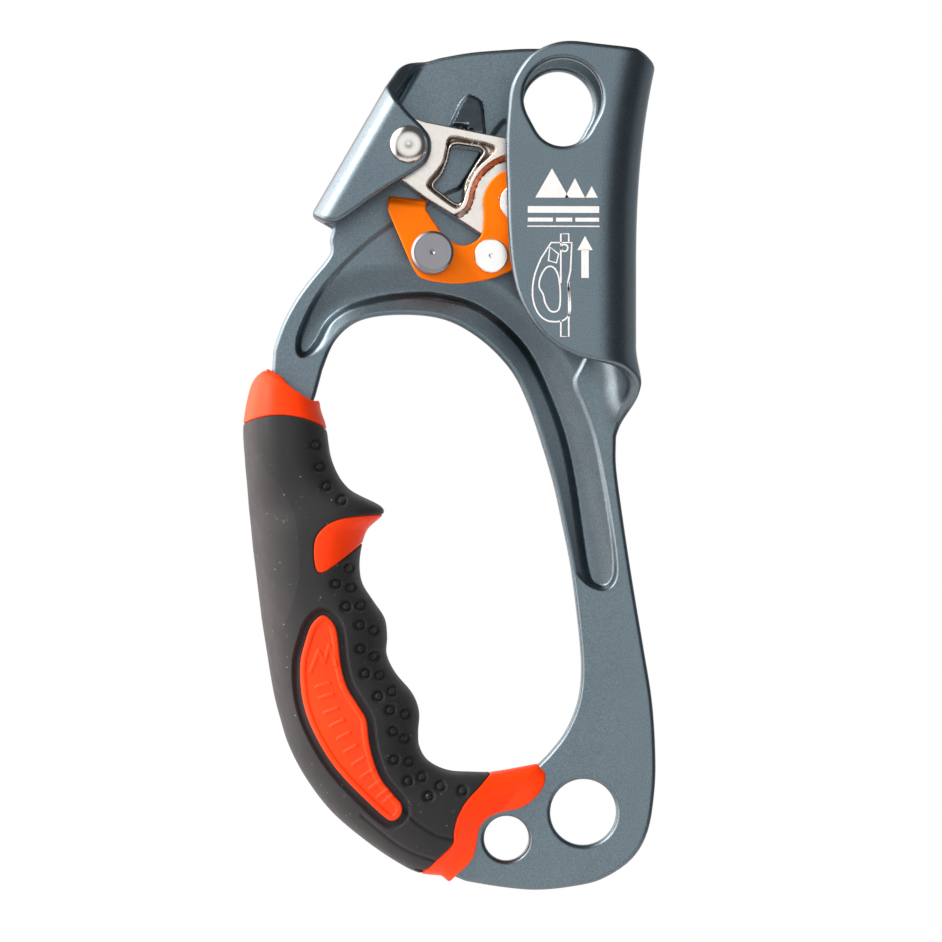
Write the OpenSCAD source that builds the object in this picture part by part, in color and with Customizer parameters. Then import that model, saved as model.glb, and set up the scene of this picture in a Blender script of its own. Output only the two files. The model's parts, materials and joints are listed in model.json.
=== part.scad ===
// Handled rope ascender.
// +Z runs up along the rope, +X points to the rope channel, and -Y is the side that the rope goes in from.
// The origin is the centre of the carabiner hole, in the middle of the sheet's thickness.

/* [Frame] */
// Thickness of the folded sheet
sheet_t = 3.5; // [3.2:0.1:3.8]
// Diameter of the carabiner hole
carabiner_d = 15.4; // [14.5:0.1:16]
// Diameter of the foot loop hole
footloop_d = 10.4; // [9.5:0.1:10.8]
// Depth of the pressed island
island_depth = 1.2; // [0.6:0.1:1.5]

/* [Rope channel] */
// Clear depth between the plate and the front flap
channel_gap = 13.5; // [13:0.1:14]
// Distance from the origin to the axis of the channel's round bend
channel_x = 2.35; // [2:0.05:2.6]
// Diameter of the upper, wide part of the eye
eye_d = 17.9; // [17:0.1:18.4]

/* [Cam] */
// Clear depth of the fold that carries the cam
fold_gap = 10; // [9.8:0.1:10.4]
// Reach of the top of the toothed face from the cam's axle
cam_reach_top = 44; // [42:0.5:45]
// Reach of the bottom of the toothed face from the cam's axle
cam_reach_bottom = 48; // [45:0.5:48]
// Number of tooth rows
tooth_rows = 9; // [6:1:12]
// Radius of the bushing that the cam turns on
bushing_r = 3.5; // [3.2:0.05:3.6]
// Radial running clearance of the two turning joints
running_gap = 0.05; // [0.03:0.01:0.08]

/* [Lever] */
// Thickness of the lever plate
lever_t = 2; // [1.8:0.1:2.2]
// Diameter of the thumb knob
knob_d = 9.6; // [9:0.1:10]
// Height of the thumb knob over the lever plate
knob_h = 8.5; // [6:0.1:9]

/* [Grip] */
// Thickness of the hard core over the sheet
core_t = 2.7; // [2:0.1:3]
// Depth of the badge pocket
badge_depth = 1.6; // [1:0.1:2]
// Squareness of the grip's rounded section
grip_square = 2.4; // [2:0.1:3]
// How far the hard core wraps past the sheet's edges
core_lip = 1.2; // [0.8:0.1:1.4]

/* [Hidden] */
$fn = 64;
half_t = sheet_t / 2;
front = -half_t;                                  // front face of the plate
channel_inner_r = channel_gap / 2;
channel_outer_r = channel_inner_r + sheet_t;
channel_y = front - channel_inner_r;              // depth of the bend's axis
flap_back = front - channel_gap;                  // inner face of the channel's front flap
flap_face = flap_back - sheet_t;
fold_back = front - fold_gap;                     // inner face of the small flap over the cam
fold_face = fold_back - sheet_t;

footloop = [-17.9, -6];
cam_axis = [-40.9, 153.7];
lever_axis = [-15.6, 140.8];
knob_at = [-35.5, 129];
catch_at = [-21.9, 128.7];

// The fold's frame: along is its bend line, out is square to it, both measured from the cam's axis.
fold_angle = 240;
fold_along = [cos(fold_angle), sin(fold_angle)];
fold_out = [sin(fold_angle), -cos(fold_angle)];
fold_web = 11.4;                                  // outer face of the web from the cam's axis
fold_bend = 5.5;                                  // outer bend radius
fold_start = fold_web - fold_bend;                // where the flat plate ends and the bend starts
fold_top = -19.8;
fold_bottom = 24.2;
lap = 0.02;                                       // flat pieces run this far into a bend, to join it

washer_t = 0.5;
washer_gap = 0.05;
axle_r = 2.5;
fit = 0.05;
cam_back = front - washer_t - 2 * washer_gap - 0.1;
cam_face = fold_back + washer_t + 2 * washer_gap + 0.1;
flange_face = -8.2;                               // the cam's low face, under the lever
flange_r = 10.4;
lever_washer_t = 0.3;
lever_back = flange_face - lever_washer_t;
lever_face = lever_back - lever_t;
spring_wire = 0.8;
link_wire = 0.46;
rivet_r = 2.5;

// A smooth run through a few points, with n steps between neighbours.
function run_at(a, b, c, d, t) =
  0.5 * (2 * b + (c - a) * t + (2 * a - 5 * b + 4 * c - d) * t * t + (3 * b - a - 3 * c + d) * t * t * t);
function run(p, n = 4) = [
  for (i = [0:len(p) - 2]) for (j = [0:n - 1])
    run_at(p[max(i - 1, 0)], p[i], p[i + 1], p[min(i + 2, len(p) - 1)], j / n),
  p[len(p) - 1]
];
function arc(c, r, a0, a1, n = 12) = [for (i = [0:n]) let (a = a0 + (a1 - a0) * i / n) c + r * [cos(a), sin(a)]];
function reversed(p) = [for (i = [len(p) - 1:-1:0]) p[i]];
function fold_point(out, along) = cam_axis + out * fold_out + along * fold_along;

// A 2-D shape in X and Z, given depth from y0 to y1.
module slab(y0, y1) {
  translate([0, max(y0, y1), 0]) rotate([90, 0, 0]) linear_extrude(abs(y1 - y0)) children();
}
// A round pin along Y.
module pin(at, r, y0, y1) {
  translate([at[0], min(y0, y1), at[1]]) rotate([-90, 0, 0]) cylinder(r = r, h = abs(y1 - y0));
}

// Grip stations from top to bottom. Each is the grip's outer edge, its inner edge, its half depth,
// and how far the plate's two edges lie in from the outer edge.
grip_rows = [
  [-73.6, 103.2, -61.3, 96.4, 6.5, 1.5, 13.0],
  [-77.0, 99.6, -61.0, 93.6, 10, 3.5, 15],
  [-78.9, 90.5, -59.8, 89.8, 12, 4.5, 16],
  [-78.6, 82.0, -58.3, 81.5, 13.5, 4.5, 16],
  [-78.1, 76.0, -54.5, 75.3, 14, 4.5, 16],
  [-77.7, 70.8, -46.8, 70.3, 14.2, 4.5, 16],
  [-77.2, 66.0, -50.2, 65.2, 14.4, 4.5, 16],
  [-76.2, 57.5, -51.9, 57.0, 14.5, 4.5, 16],
  [-75.2, 49.0, -48.2, 49.2, 14.5, 4.5, 16],
  [-74.0, 40.0, -45.6, 41.0, 14.5, 4.5, 16],
  [-72.6, 31.5, -43.5, 33.0, 14.5, 4.5, 16],
  [-71.0, 24.0, -38.8, 25.0, 14.5, 4.5, 16],
  [-68.4, 15.8, -38.0, 20.0, 14.3, 4.5, 16],
  [-64.4, 8.2, -38.2, 16.0, 14, 4.5, 16.5],
  [-58.6, 0.6, -36.0, 12.0, 13.5, 4, 18],
  [-51.5, -5.6, -31.5, 9.8, 12.5, 3.2, 21],
  [-44.5, -10.6, -26.0, 9.4, 11, 2.8, 24.5],
  [-38.5, -13.8, -20.5, 9.5, 9, 2, 27],
  [-33.0, -14.6, -10.5, 11.2, 6, 1, 33]
];
row_steps = 2;
top_collar = 2;                                   // station where the top collar ends
bottom_collar = 17;                               // station where the bottom collar starts
last_row = len(grip_rows) - 1;
shoulder = 0.02;                                  // length of a collar's shoulder, in stations
badge_top = 8.2;
badge_bottom = 15.2;
rows = run(grip_rows, row_steps);
// The station at i, which may lie between two rows.
function station(i) = let (k = floor(i * row_steps + 0.001), f = i * row_steps - k)
  f < 0.01 ? rows[k] : rows[k] * (1 - f) + rows[k + 1] * f;
function row_outer(r) = [r[0], r[1]];
function row_width(r) = norm([r[2] - r[0], r[3] - r[1]]);
function row_dir(r) = [r[2] - r[0], r[3] - r[1]] / row_width(r);
function row_point(r, u) = row_outer(r) + u * row_dir(r);
strip_outer = [for (r = rows) row_point(r, r[5])];
strip_inner = [for (r = rows) row_point(r, r[6])];

// ---- Frame ----

plate_left = [[-59.0, 133], [-58.7, 130.6], [-59.8, 128.3], [-63.7, 123.6], [-67, 119], [-70, 113.3], [-72, 107.5]];
plate_bottom = [[-27.3, -15.9], [-19, -17.3], [-11, -18], [-3, -17.3], [4.2, -15.6], [11.2, -11], [15, -4.5],
  [16.6, 5], [16.8, 14], [16, 26], [14, 38.5], [11.4, 54.1], [9, 70], [7.7, 80], [7.7, 85], [8.6, 89]];
plate_top = [[-8, 177.6], [-18.2, 177.3], [-26.3, 176.6], [-36.4, 173.8]];
loop_edge = [[-60.6, 103], [-57.5, 109.9], [-51.7, 114.4], [-42, 115.7], [-32.1, 114.5], [-23.8, 109.9],
  [-17, 103], [-13, 95.3], [-9.8, 86], [-7, 76.5], [-4.9, 67], [-3, 57.5], [-1.6, 47], [-0.6, 37],
  [-0.6, 30], [-1.8, 24], [-4.6, 18], [-8.4, 13.2]];
island_edge = [[-65.3, 107], [-64.7, 112.1], [-58.9, 122.6], [-47.2, 133.8], [-31.9, 142.9], [-27.7, 145.4],
  [-19.8, 158], [-17, 159.4], [-13, 152.5], [-3, 149.5], [0.8, 144], [1.2, 112], [-2.4, 100], [2.1, 86.6],
  [4.9, 72.6], [6.8, 58.7], [6.2, 53.9], [3.6, 53.2], [1.4, 57], [-1.2, 75], [-5, 91], [-12.4, 107.6],
  [-19.3, 115], [-26.3, 119.2], [-35.6, 121.2], [-48.4, 120.1], [-57.6, 116.6], [-62.6, 109.8], [-65.3, 107]];

module plate_outline() {
  polygon(concat(
    [fold_point(fold_start + lap, fold_bottom)],
    run(plate_left), strip_outer, run(plate_bottom),
    [[channel_x + lap, 89], [channel_x + lap, 177.5]],
    run(plate_top),
    [fold_point(fold_start + lap, fold_top)]
  ));
}
module channel_flap_outline() {
  polygon(concat(
    [[channel_x + lap, 177]],
    run([[-3.1, 177.1], [-10, 175.8], [-16.3, 169.8], [-18.6, 161]]),
    run([[-18.6, 137], [-17.7, 127.2], [-12.2, 112.5], [-2, 105.3], [channel_x + lap, 104.4]])
  ));
}
module channel_bend() {
  difference() {
    translate([channel_x, channel_y, 85]) cylinder(r = channel_outer_r, h = 93);
    translate([channel_x, channel_y, 84]) cylinder(r = channel_inner_r, h = 95);
    translate([channel_x - 30, channel_y - 20, 84]) cube([30, 40, 95]);
    // the slanted lip at the bottom and the sloped top edge
    slab(channel_y, flap_face - 1) polygon([[0, 84], [0, 105.3], [2.4, 104.4], [10.2, 101.3], [20, 96], [20, 84]]);
    slab(half_t + 1, channel_y) polygon([[0, 84], [0, 89], [8.6, 89], [13, 98.5], [20, 102], [20, 84]]);
    slab(half_t + 1, flap_face - 1) polygon([[0, 178.2], [3, 177], [8.4, 175.6], [20, 170.5], [20, 180], [0, 180]]);
  }
}
module fold_section() {
  reach = fold_web + 20;
  difference() {
    rounded_bar(fold_web - reach, fold_web, fold_face, half_t, fold_bend);
    rounded_bar(fold_web - reach - 1, fold_web - sheet_t, fold_back, front, fold_bend - sheet_t);
    translate([-reach, fold_face - 1]) square([reach + fold_start, fold_gap + 3 * sheet_t]);
  }
}
module rounded_bar(x0, x1, y0, y1, r) {
  translate([x0, y0]) square([x1 - x0 - r, y1 - y0]);
  translate([x1 - r - 0.01, y0 + r]) square([r + 0.01, y1 - y0 - 2 * r]);
  for (y = [y0 + r, y1 - r]) translate([x1 - r, y]) circle(r = r);
}
module fold_bar() {
  place_fold() difference() {
    translate([0, 0, fold_top]) linear_extrude(fold_bottom - fold_top) fold_section();
    // sloped upper end
    rotate([90, 0, 0]) translate([0, 0, -20]) linear_extrude(60)
      polygon([[5, fold_top - 1], [5.9, fold_top], [11.5, -13], [12, -12], [12, fold_top - 1]]);
    rotate([90, 0, 90]) translate([0, 0, 5]) linear_extrude(8)
      polygon([[front, fold_top - 1], [front, -14], [-8, -9.5], [fold_face - 1, -7.2], [fold_face - 1, fold_top - 1]]);
  }
}
// Local X is out, local Y is the depth and local Z runs down the bend line.
module place_fold() {
  translate([cam_axis[0], 0, cam_axis[1]]) multmatrix([
    [fold_out[0], 0, fold_along[0], 0],
    [0, 1, 0, 0],
    [fold_out[1], 0, fold_along[1], 0],
    [0, 0, 0, 1]
  ]) children();
}
module fold_flap_outline() {
  polygon(concat(
    [fold_point(fold_start + lap, -6.8)],
    reversed(arc(cam_axis, 5.6, -58, 48)),
    [fold_point(fold_start + lap, fold_bottom)]
  ));
}
// Pressed bump above the cam, with its open end down: it is the cam's end stop.
module stop_bump() {
  stop_x = -26.7;
  stop_z = 158.2;
  stop_r = 4.2;
  translate([stop_x, 0, stop_z]) cylinder(r = stop_r, h = 4.6);
  translate([stop_x, 0, stop_z + 4.6]) sphere(r = stop_r);
}
module eye_hole(y0, y1) {
  pin([-5.85, 164.2], eye_d / 2, y0, y1);
  pin([-5.85, 160.2], eye_d / 2 - 1.9, y0, y1);
}
module frame() {
  color("slategray") difference() {
    union() {
      slab(front, half_t) difference() {
        plate_outline();
        polygon(concat(reversed(strip_inner), run(loop_edge)));
      }
      slab(half_t - 0.01, half_t + island_depth) polygon(run(island_edge, 3));
      slab(flap_face, flap_back) channel_flap_outline();
      channel_bend();
      slab(fold_face, fold_back) fold_flap_outline();
      fold_bar();
      intersection() {
        stop_bump();
        slab(front + 0.1, -6) translate([-35, 150]) square(20);
      }
    }
    slab(front - 0.01, front + island_depth) polygon(run(island_edge, 3));
    pin([0, 0], carabiner_d / 2, -half_t - 1, half_t + 1);
    pin(footloop, footloop_d / 2, -half_t - 1, half_t + 1);
    eye_hole(flap_face - 1, half_t + 3);
    pin(cam_axis, axle_r + fit, fold_face - 1, half_t + 1);
  }
}

// ---- Cam axle ----

module cam_axle() {
  head_r = 4.3;
  head_h = 2;
  dome_r = (head_r * head_r + head_h * head_h) / (2 * head_h);
  color("silver") {
    pin(cam_axis, axle_r, fold_face, half_t);
    intersection() {
      pin(cam_axis, head_r, fold_face, fold_face - head_h);
      translate([cam_axis[0], fold_face - head_h + dome_r, cam_axis[1]]) sphere(r = dome_r);
    }
    pin(cam_axis, 3.9, half_t, half_t + 1.2);
  }
}
module cam_bushing() {
  color("goldenrod") difference() {
    pin(cam_axis, bushing_r, front - washer_t - washer_gap, fold_back + washer_t + washer_gap);
    pin(cam_axis, axle_r + fit, front, fold_back);
  }
}
module cam_washer(y) {
  color("gainsboro") difference() {
    pin(cam_axis, 5.4, y, y - washer_t);
    pin(cam_axis, axle_r + fit, y + 1, y - washer_t - 1);
  }
}
module cam_washer_rear() { cam_washer(front); }
module cam_washer_front() { cam_washer(fold_back + washer_t); }

// A wire coil about Y: a tube swept through points on a helix.
function coil_points(at, r, y0, pitch, turns, a0, n = 12) = [
  for (i = [0:turns * n]) let (a = a0 + 360 * i / n) [at[0] + r * cos(a), y0 - pitch * i / n, at[1] + r * sin(a)]
];
module wire(points, r, sides = 6) {
  last = len(points) - 1;
  function dir(i) = let (d = points[min(i + 1, last)] - points[max(i - 1, 0)]) d / norm(d);
  function side_a(i) = let (s = cross(dir(i), [0, 1, 0])) s / norm(s);
  rings = [for (i = [0:last]) let (a = side_a(i), b = cross(a, dir(i)))
    for (k = [0:sides - 1]) points[i] + r * (a * cos(360 * k / sides) + b * sin(360 * k / sides))];
  quads = [for (i = [0:last - 1]) for (k = [0:sides - 1])
    [i * sides + k, i * sides + (k + 1) % sides, (i + 1) * sides + (k + 1) % sides, (i + 1) * sides + k]];
  polyhedron(rings, concat(quads, [[for (k = [sides - 1:-1:0]) k]], [[for (k = [0:sides - 1]) last * sides + k]]));
}
module cam_spring() {
  color("dimgray") wire(coil_points(cam_axis, 4.9, cam_back - 0.6, 0.9, 3.5, -60), spring_wire / 2);
}

// ---- Cam ----

tooth_top = -2.5;                                 // direction of the toothed face's top from the axle
tooth_bottom = -27;
function cam_polar(r, a) = cam_axis + r * [cos(a), sin(a)];
function tooth_face() = [
  for (i = [0:2 * tooth_rows]) let (t = i / (2 * tooth_rows), tip = i % 2 == 0 ? 1 : 0)
    cam_polar(cam_reach_top + (cam_reach_bottom - cam_reach_top) * t - 1.1 * (1 - tip),
      tooth_top + (tooth_bottom - tooth_top) * t)
];
module cam_outline() {
  polygon(concat(
    arc(cam_axis, 7.3, -110, -265),
    [[-37, 159.4], [-18.2, 155.7]],
    tooth_face(),
    [[-18, 132.2], [-23.4, 133.5], [-30.1, 137.8], [-37, 142.1]]
  ));
}
module cam_window() {
  polygon(concat(
    run([[-31.1, 153.2], [-30.6, 154], [-29.6, 154.2]], 2),
    [[-24.6, 153.5], [-23.6, 152.3]],
    run([[-26.2, 148.9], [-28, 145.5], [-28.5, 142]]),
    [[-29.6, 140.9], [-30.6, 141.1], [-34.8, 144.8]],
    run([[-34.8, 144.8], [-33, 147.3], [-31.5, 151]])
  ));
}
module cam() {
  color("lightgray") difference() {
    union() {
      slab(cam_back, flange_face) cam_outline();
      slab(flange_face + 0.01, cam_face) difference() {
        cam_outline();
        translate(lever_axis) circle(r = flange_r);
        polygon([[-32, 136.8], [-26, 139.6], [-15.6, 138], [-15.6, 151.2], [12, 151.2], [12, 125], [-32, 125]]);
      }
    }
    slab(cam_back + 1, cam_face - 1) cam_window();
    pin(cam_axis, bushing_r + running_gap, cam_back + 1, cam_face - 1);
    pin(cam_axis, 6.3, cam_back + 1, cam_back - 4.2);
    pin(lever_axis, rivet_r + 0.02, cam_back + 1, cam_face - 1);
    pin(lever_axis, 4.3, cam_back + 1, cam_back - 1.4);
    // slot that clears mud off the teeth
    translate([-4, -6.6, 137]) cube([12, 2.4, 9]);
  }
}
module lever_pivot() {
  color("whitesmoke") {
    pin(lever_axis, rivet_r, cam_back - 0.2, lever_face - 1.3);
    pin(lever_axis, 4.4, lever_face - 1.3, lever_face - 2.6);
    pin(lever_axis, 4, cam_back - 0.2, cam_back - 1.4);
  }
}
module lever_washer() {
  color("gainsboro") difference() {
    pin(lever_axis, 5, flange_face, lever_back);
    pin(lever_axis, rivet_r + fit, flange_face + 1, lever_back - 1);
  }
}
module lever_spring() {
  top = lever_face - 0.27;
  pitch = 0.56;
  turns = 1.25;
  coil = coil_points(lever_axis, 3.3, top, pitch, turns, 180 - 360 * turns);
  leg = [for (i = [1:3]) [lever_axis[0] - 3.5 - 0.35 * i, top - pitch * turns, lever_axis[1] + 0.4 * i]];
  color("dimgray") wire(concat(coil, leg), link_wire / 2);
}

// ---- Lever ----

module lever_outline() {
  polygon(concat(
    [[-45, 141.2], [-36.9, 140.3], [-33.3, 134.2]],
    run([[-33.3, 134.2], [-30.2, 131.6], [-27.5, 131.2], [-25, 132.4], [-23.8, 134.5], [-23.5, 138.2]]),
    reversed(arc(lever_axis, 8.1, -35, 180, 16)),
    run([[-9.4, 135], [-10.6, 130.5], [-13, 127.6], [-17.3, 125.4], [-21, 123.8], [-25, 122.9], [-29.9, 122.4],
      [-34.9, 122.9], [-38.2, 123.9], [-40.1, 126.6], [-44.7, 137.3], [-45.6, 140.2]])
  ));
}
module lever_plate() {
  tab_depth = 5;
  color("darkorange") difference() {
    union() {
      slab(lever_back, lever_face) lever_outline();
      slab(lever_back + tab_depth, lever_back - 0.5)
        polygon([[-45.6, 140.1], [-45.4, 142.1], [-37.6, 140.9], [-36.9, 139.4]]);
    }
    pin(lever_axis, rivet_r + running_gap, lever_back + 1, lever_face - 1);
    pin(knob_at, 2 + fit, lever_back + 1, lever_face - 1);
    pin(catch_at, 2.2 + fit, lever_back + 1, lever_face - 1);
  }
}
module thumb_knob() {
  color("gray") difference() {
    union() {
      pin(knob_at, knob_d / 2, lever_face, lever_face - knob_h + 0.6);
      pin(knob_at, knob_d / 2 - 0.5, lever_face, lever_face - knob_h);
    }
    pin(knob_at, 2 + fit, lever_face + 1, lever_face - 5);
  }
}
module knob_rivet() {
  color("silver") {
    pin(knob_at, 2, lever_back, lever_face - 4.9);
    pin(knob_at, 3.2, lever_back + 1.2, lever_back);
  }
}
module catch_pin() {
  color("whitesmoke") {
    pin(catch_at, 2.2, lever_back + 1, lever_face - 0.1);
    pin(catch_at, 3.85, lever_face, lever_face - 1.4);
    pin(catch_at, 3, lever_back + 2, lever_back);
  }
}

// ---- Grip ----

// Half a rounded section from u0 to u1 along a row, h deep, as [u, depth] points.
function dome_at(u0, u1, h, a, sq) = [
  (u0 + u1) / 2 + (u1 - u0) / 2 * sign(cos(a)) * pow(abs(cos(a)), 2 / sq),
  h * pow(abs(sin(a)), 2 / sq)
];
function dome(u0, u1, h, sq, a0 = 0, a1 = 180, n = 10) = [
  for (i = [0:n]) dome_at(u0, u1, h, a0 + (a1 - a0) * i / n, sq)
];
function dome_angle(u0, u1, u, sq) = let (c = (u - (u0 + u1) / 2) / ((u1 - u0) / 2))
  acos(sign(c) * pow(abs(c), sq / 2));
// Rings of [u, depth] points, one per station, joined into a closed solid on the front side.
module row_sweep(places, rings) {
  count = len(rings[0]);
  last = len(rings) - 1;
  points = [for (i = [0:last]) for (q = rings[i]) let (p = row_point(station(places[i]), q[0])) [p[0], -q[1], p[1]]];
  quads = [for (i = [0:last - 1]) for (k = [0:count - 1])
    [i * count + k, (i + 1) * count + k, (i + 1) * count + (k + 1) % count, i * count + (k + 1) % count]];
  polyhedron(points, concat(quads, [[for (k = [0:count - 1]) k]], [[for (k = [count - 1:-1:0]) last * count + k]]));
}
function core_ring(r, u0, u1, h, sq) = concat(
  dome(u0, u1, h, sq),
  [[r[5] - fit, 0], [r[5] - fit, half_t], [r[6] + fit, half_t], [r[6] + fit, 0]]
);
function collar_ring(r) = core_ring(r, 0, row_width(r), r[4], grip_square);
function slab_ring(r) = core_ring(r, r[5] - core_lip, r[6] + core_lip, half_t + core_t, 8);
// Stations of the stretch between the collars, drawn in by a gap at both ends.
function middle(gap) = concat(
  [top_collar + gap], [for (i = [top_collar + 0.5:0.5:bottom_collar - 0.5]) i], [bottom_collar - gap]
);
module grip_core() {
  top = [for (i = [0:0.5:top_collar]) i];
  bottom = [for (i = [bottom_collar:0.5:last_row]) i];
  row_sweep(concat(top, middle(shoulder), bottom), concat(
    [for (i = top) collar_ring(station(i))],
    [for (i = middle(shoulder)) slab_ring(station(i))],
    [for (i = bottom) collar_ring(station(i))]
  ));
}
module grip_core_front() { color("orangered") grip_core(); }
module grip_core_rear() { color("orangered") mirror([0, 1, 0]) grip_core(); }

// The badge is a leaf between two stations, near the middle of the grip's face.
function badge_share(i) = (i - badge_top) / (badge_bottom - badge_top);
function badge_half(i) = 5.2 * pow(max(sin(180 * badge_share(i)), 0.02), 0.6);
function badge_mid(i) = 13.2 - 4 * pow(max(badge_share(i), 0), 3);
function badge_angles(i, grow) = let (w = row_width(station(i)), m = badge_mid(i), b = badge_half(i) + grow)
  [dome_angle(0, w, m + b, grip_square), dome_angle(0, w, m - b, grip_square)];
function pocket_depth(i) = i > badge_top && i < badge_bottom ? badge_depth : 0;
function sleeve_ring(i) =
  let (r = station(i), w = row_width(r), a = badge_angles(i, 0.1), d = pocket_depth(i))
  let (p = dome_at(0, w, r[4], a[0], grip_square), q = dome_at(0, w, r[4], a[1], grip_square))
  concat(
    dome(0, w, r[4], grip_square, 0, a[0], 5),
    [[p[0], p[1] - d], [q[0], q[1] - d]],
    dome(0, w, r[4], grip_square, a[1], 180, 5),
    reversed(dome(r[5] - core_lip - fit, r[6] + core_lip + fit, half_t + core_t + fit, 8))
  );
module grip_sleeve() {
  places = middle(2 * shoulder);
  row_sweep(places, [for (i = places) sleeve_ring(i)]);
}
module grip_sleeve_front() { color("dimgray") grip_sleeve(); }
module grip_sleeve_rear() { color("dimgray") mirror([0, 1, 0]) grip_sleeve(); }

function badge_ring(i) =
  let (r = station(i), w = row_width(r), a = badge_angles(i, 0))
  let (top = dome(0, w, r[4], grip_square, a[0], a[1], 4), slope = (top[4][1] - top[0][1]) / (top[4][0] - top[0][0]))
  concat(top, [for (k = [4:-1:0]) [top[k][0], top[0][1] + slope * (top[k][0] - top[0][0]) - badge_depth / 2]]);
module badge() {
  places = [for (i = [ceil(2 * badge_top) / 2 + 0.5:0.5:badge_bottom - 0.5]) i];
  row_sweep(places, [for (i = places) badge_ring(i)]);
}
module badge_front() { color("orangered") badge(); }
module badge_rear() { color("orangered") mirror([0, 1, 0]) badge(); }

frame();
cam_axle();
cam_bushing();
cam_washer_rear();
cam_washer_front();
cam_spring();
grip_core_front();
grip_core_rear();
grip_sleeve_front();
grip_sleeve_rear();
badge_front();
badge_rear();
cam();
lever_pivot();
lever_washer();
lever_spring();
lever_plate();
thumb_knob();
knob_rivet();
catch_pin();
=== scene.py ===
import json
import math

import bmesh
import bpy
import numpy as np
from mathutils import Matrix, Vector


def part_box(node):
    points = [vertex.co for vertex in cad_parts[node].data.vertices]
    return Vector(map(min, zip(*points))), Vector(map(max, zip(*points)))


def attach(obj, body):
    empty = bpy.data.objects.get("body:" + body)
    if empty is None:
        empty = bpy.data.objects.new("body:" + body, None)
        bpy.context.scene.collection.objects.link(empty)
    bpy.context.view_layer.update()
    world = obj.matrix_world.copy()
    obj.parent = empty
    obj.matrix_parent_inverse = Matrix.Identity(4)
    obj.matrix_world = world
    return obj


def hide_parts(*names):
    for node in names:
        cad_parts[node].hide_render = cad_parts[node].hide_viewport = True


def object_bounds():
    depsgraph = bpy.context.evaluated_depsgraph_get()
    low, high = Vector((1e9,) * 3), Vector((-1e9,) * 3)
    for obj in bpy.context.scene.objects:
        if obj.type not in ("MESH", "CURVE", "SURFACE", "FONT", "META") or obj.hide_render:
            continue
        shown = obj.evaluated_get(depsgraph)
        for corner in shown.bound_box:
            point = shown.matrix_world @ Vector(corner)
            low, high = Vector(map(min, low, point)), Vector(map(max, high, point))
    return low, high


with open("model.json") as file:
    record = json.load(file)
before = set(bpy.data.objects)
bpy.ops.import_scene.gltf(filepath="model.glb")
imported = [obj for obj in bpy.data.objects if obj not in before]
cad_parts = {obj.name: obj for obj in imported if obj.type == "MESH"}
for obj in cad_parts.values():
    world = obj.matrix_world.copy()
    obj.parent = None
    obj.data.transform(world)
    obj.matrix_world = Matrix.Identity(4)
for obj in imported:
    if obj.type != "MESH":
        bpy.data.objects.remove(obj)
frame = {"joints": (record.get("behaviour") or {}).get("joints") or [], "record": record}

cad_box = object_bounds()

# Handled rope ascender. Shapes are worked out in millimetres and turned into metres when a mesh is made.
# +X points to the rope channel, +Z up along the rope, and -Y is the side that the rope goes in from.
# The sheet, the cam, the lever and the grip are fields: functions that are negative inside the shape.
# A field becomes a mesh on a fine grid, and its points and normals are then set from the field itself.

MM = 0.001
COARSE = 1.0

# ---- Places and sizes, from the CAD ----

record = frame["record"]
joints = {j["name"]: j for j in frame["joints"]}


def flat(point):
    """X and Z of a point in metres, in millimetres."""
    return np.array([point[0], point[2]]) / MM


def box(node):
    """The low and the high corner of a node in millimetres."""
    return [np.array(p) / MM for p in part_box(node)]


def middle(node):
    """X and Z of a node's middle."""
    return sum(box(node))[[0, 2]] / 2


def depths(node):
    """Front and back Y of a node."""
    return [p[1] for p in box(node)]


CAM_AXIS = flat(joints["cam_swing"]["pos_m"])
LEVER_AXIS = flat(joints["lever_swing"]["pos_m"])
KNOB = middle("thumb_knob")
CATCH = middle("catch_pin")
SHEET = 3.5
HALF = SHEET / 2
FOLD_FACE = -15.25  # front face of the small flap over the cam
CAM_FRONT, CAM_BACK = depths("cam")
FLANGE = -8.2  # the cam's low face, under the lever
LEVER_FACE, LEVER_BACK = -10.5, -8.5  # the lever plate's front and back

# ---- Curves and flat shapes ----


def spline(points, steps=8, closed=False):
    """Points on a smooth curve through the given points."""
    p = np.array(points, float)
    count = len(p)
    t = (np.arange(steps) / steps)[:, None]
    pieces = []
    for i in range(count if closed else count - 1):
        near = [(i + k) % count if closed else min(max(i + k, 0), count - 1) for k in (-1, 0, 1, 2)]
        a, b, c, d = p[near]
        pieces.append(0.5 * (2 * b + (c - a) * t + (2 * a - 5 * b + 4 * c - d) * t**2
                             + (3 * b - a - 3 * c + d) * t**3))
    if not closed:
        pieces.append(p[-1:])
    return np.concatenate(pieces)


def arc(centre, radius, start, end, steps=24):
    """Points on an arc, angles in degrees."""
    a = np.radians(np.linspace(start, end, steps + 1))
    return np.array(centre) + radius * np.stack([np.cos(a), np.sin(a)], 1)


def join(*runs):
    """Runs of points, one after the other."""
    return np.concatenate([np.atleast_2d(np.array(r, float)) for r in runs])


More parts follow.
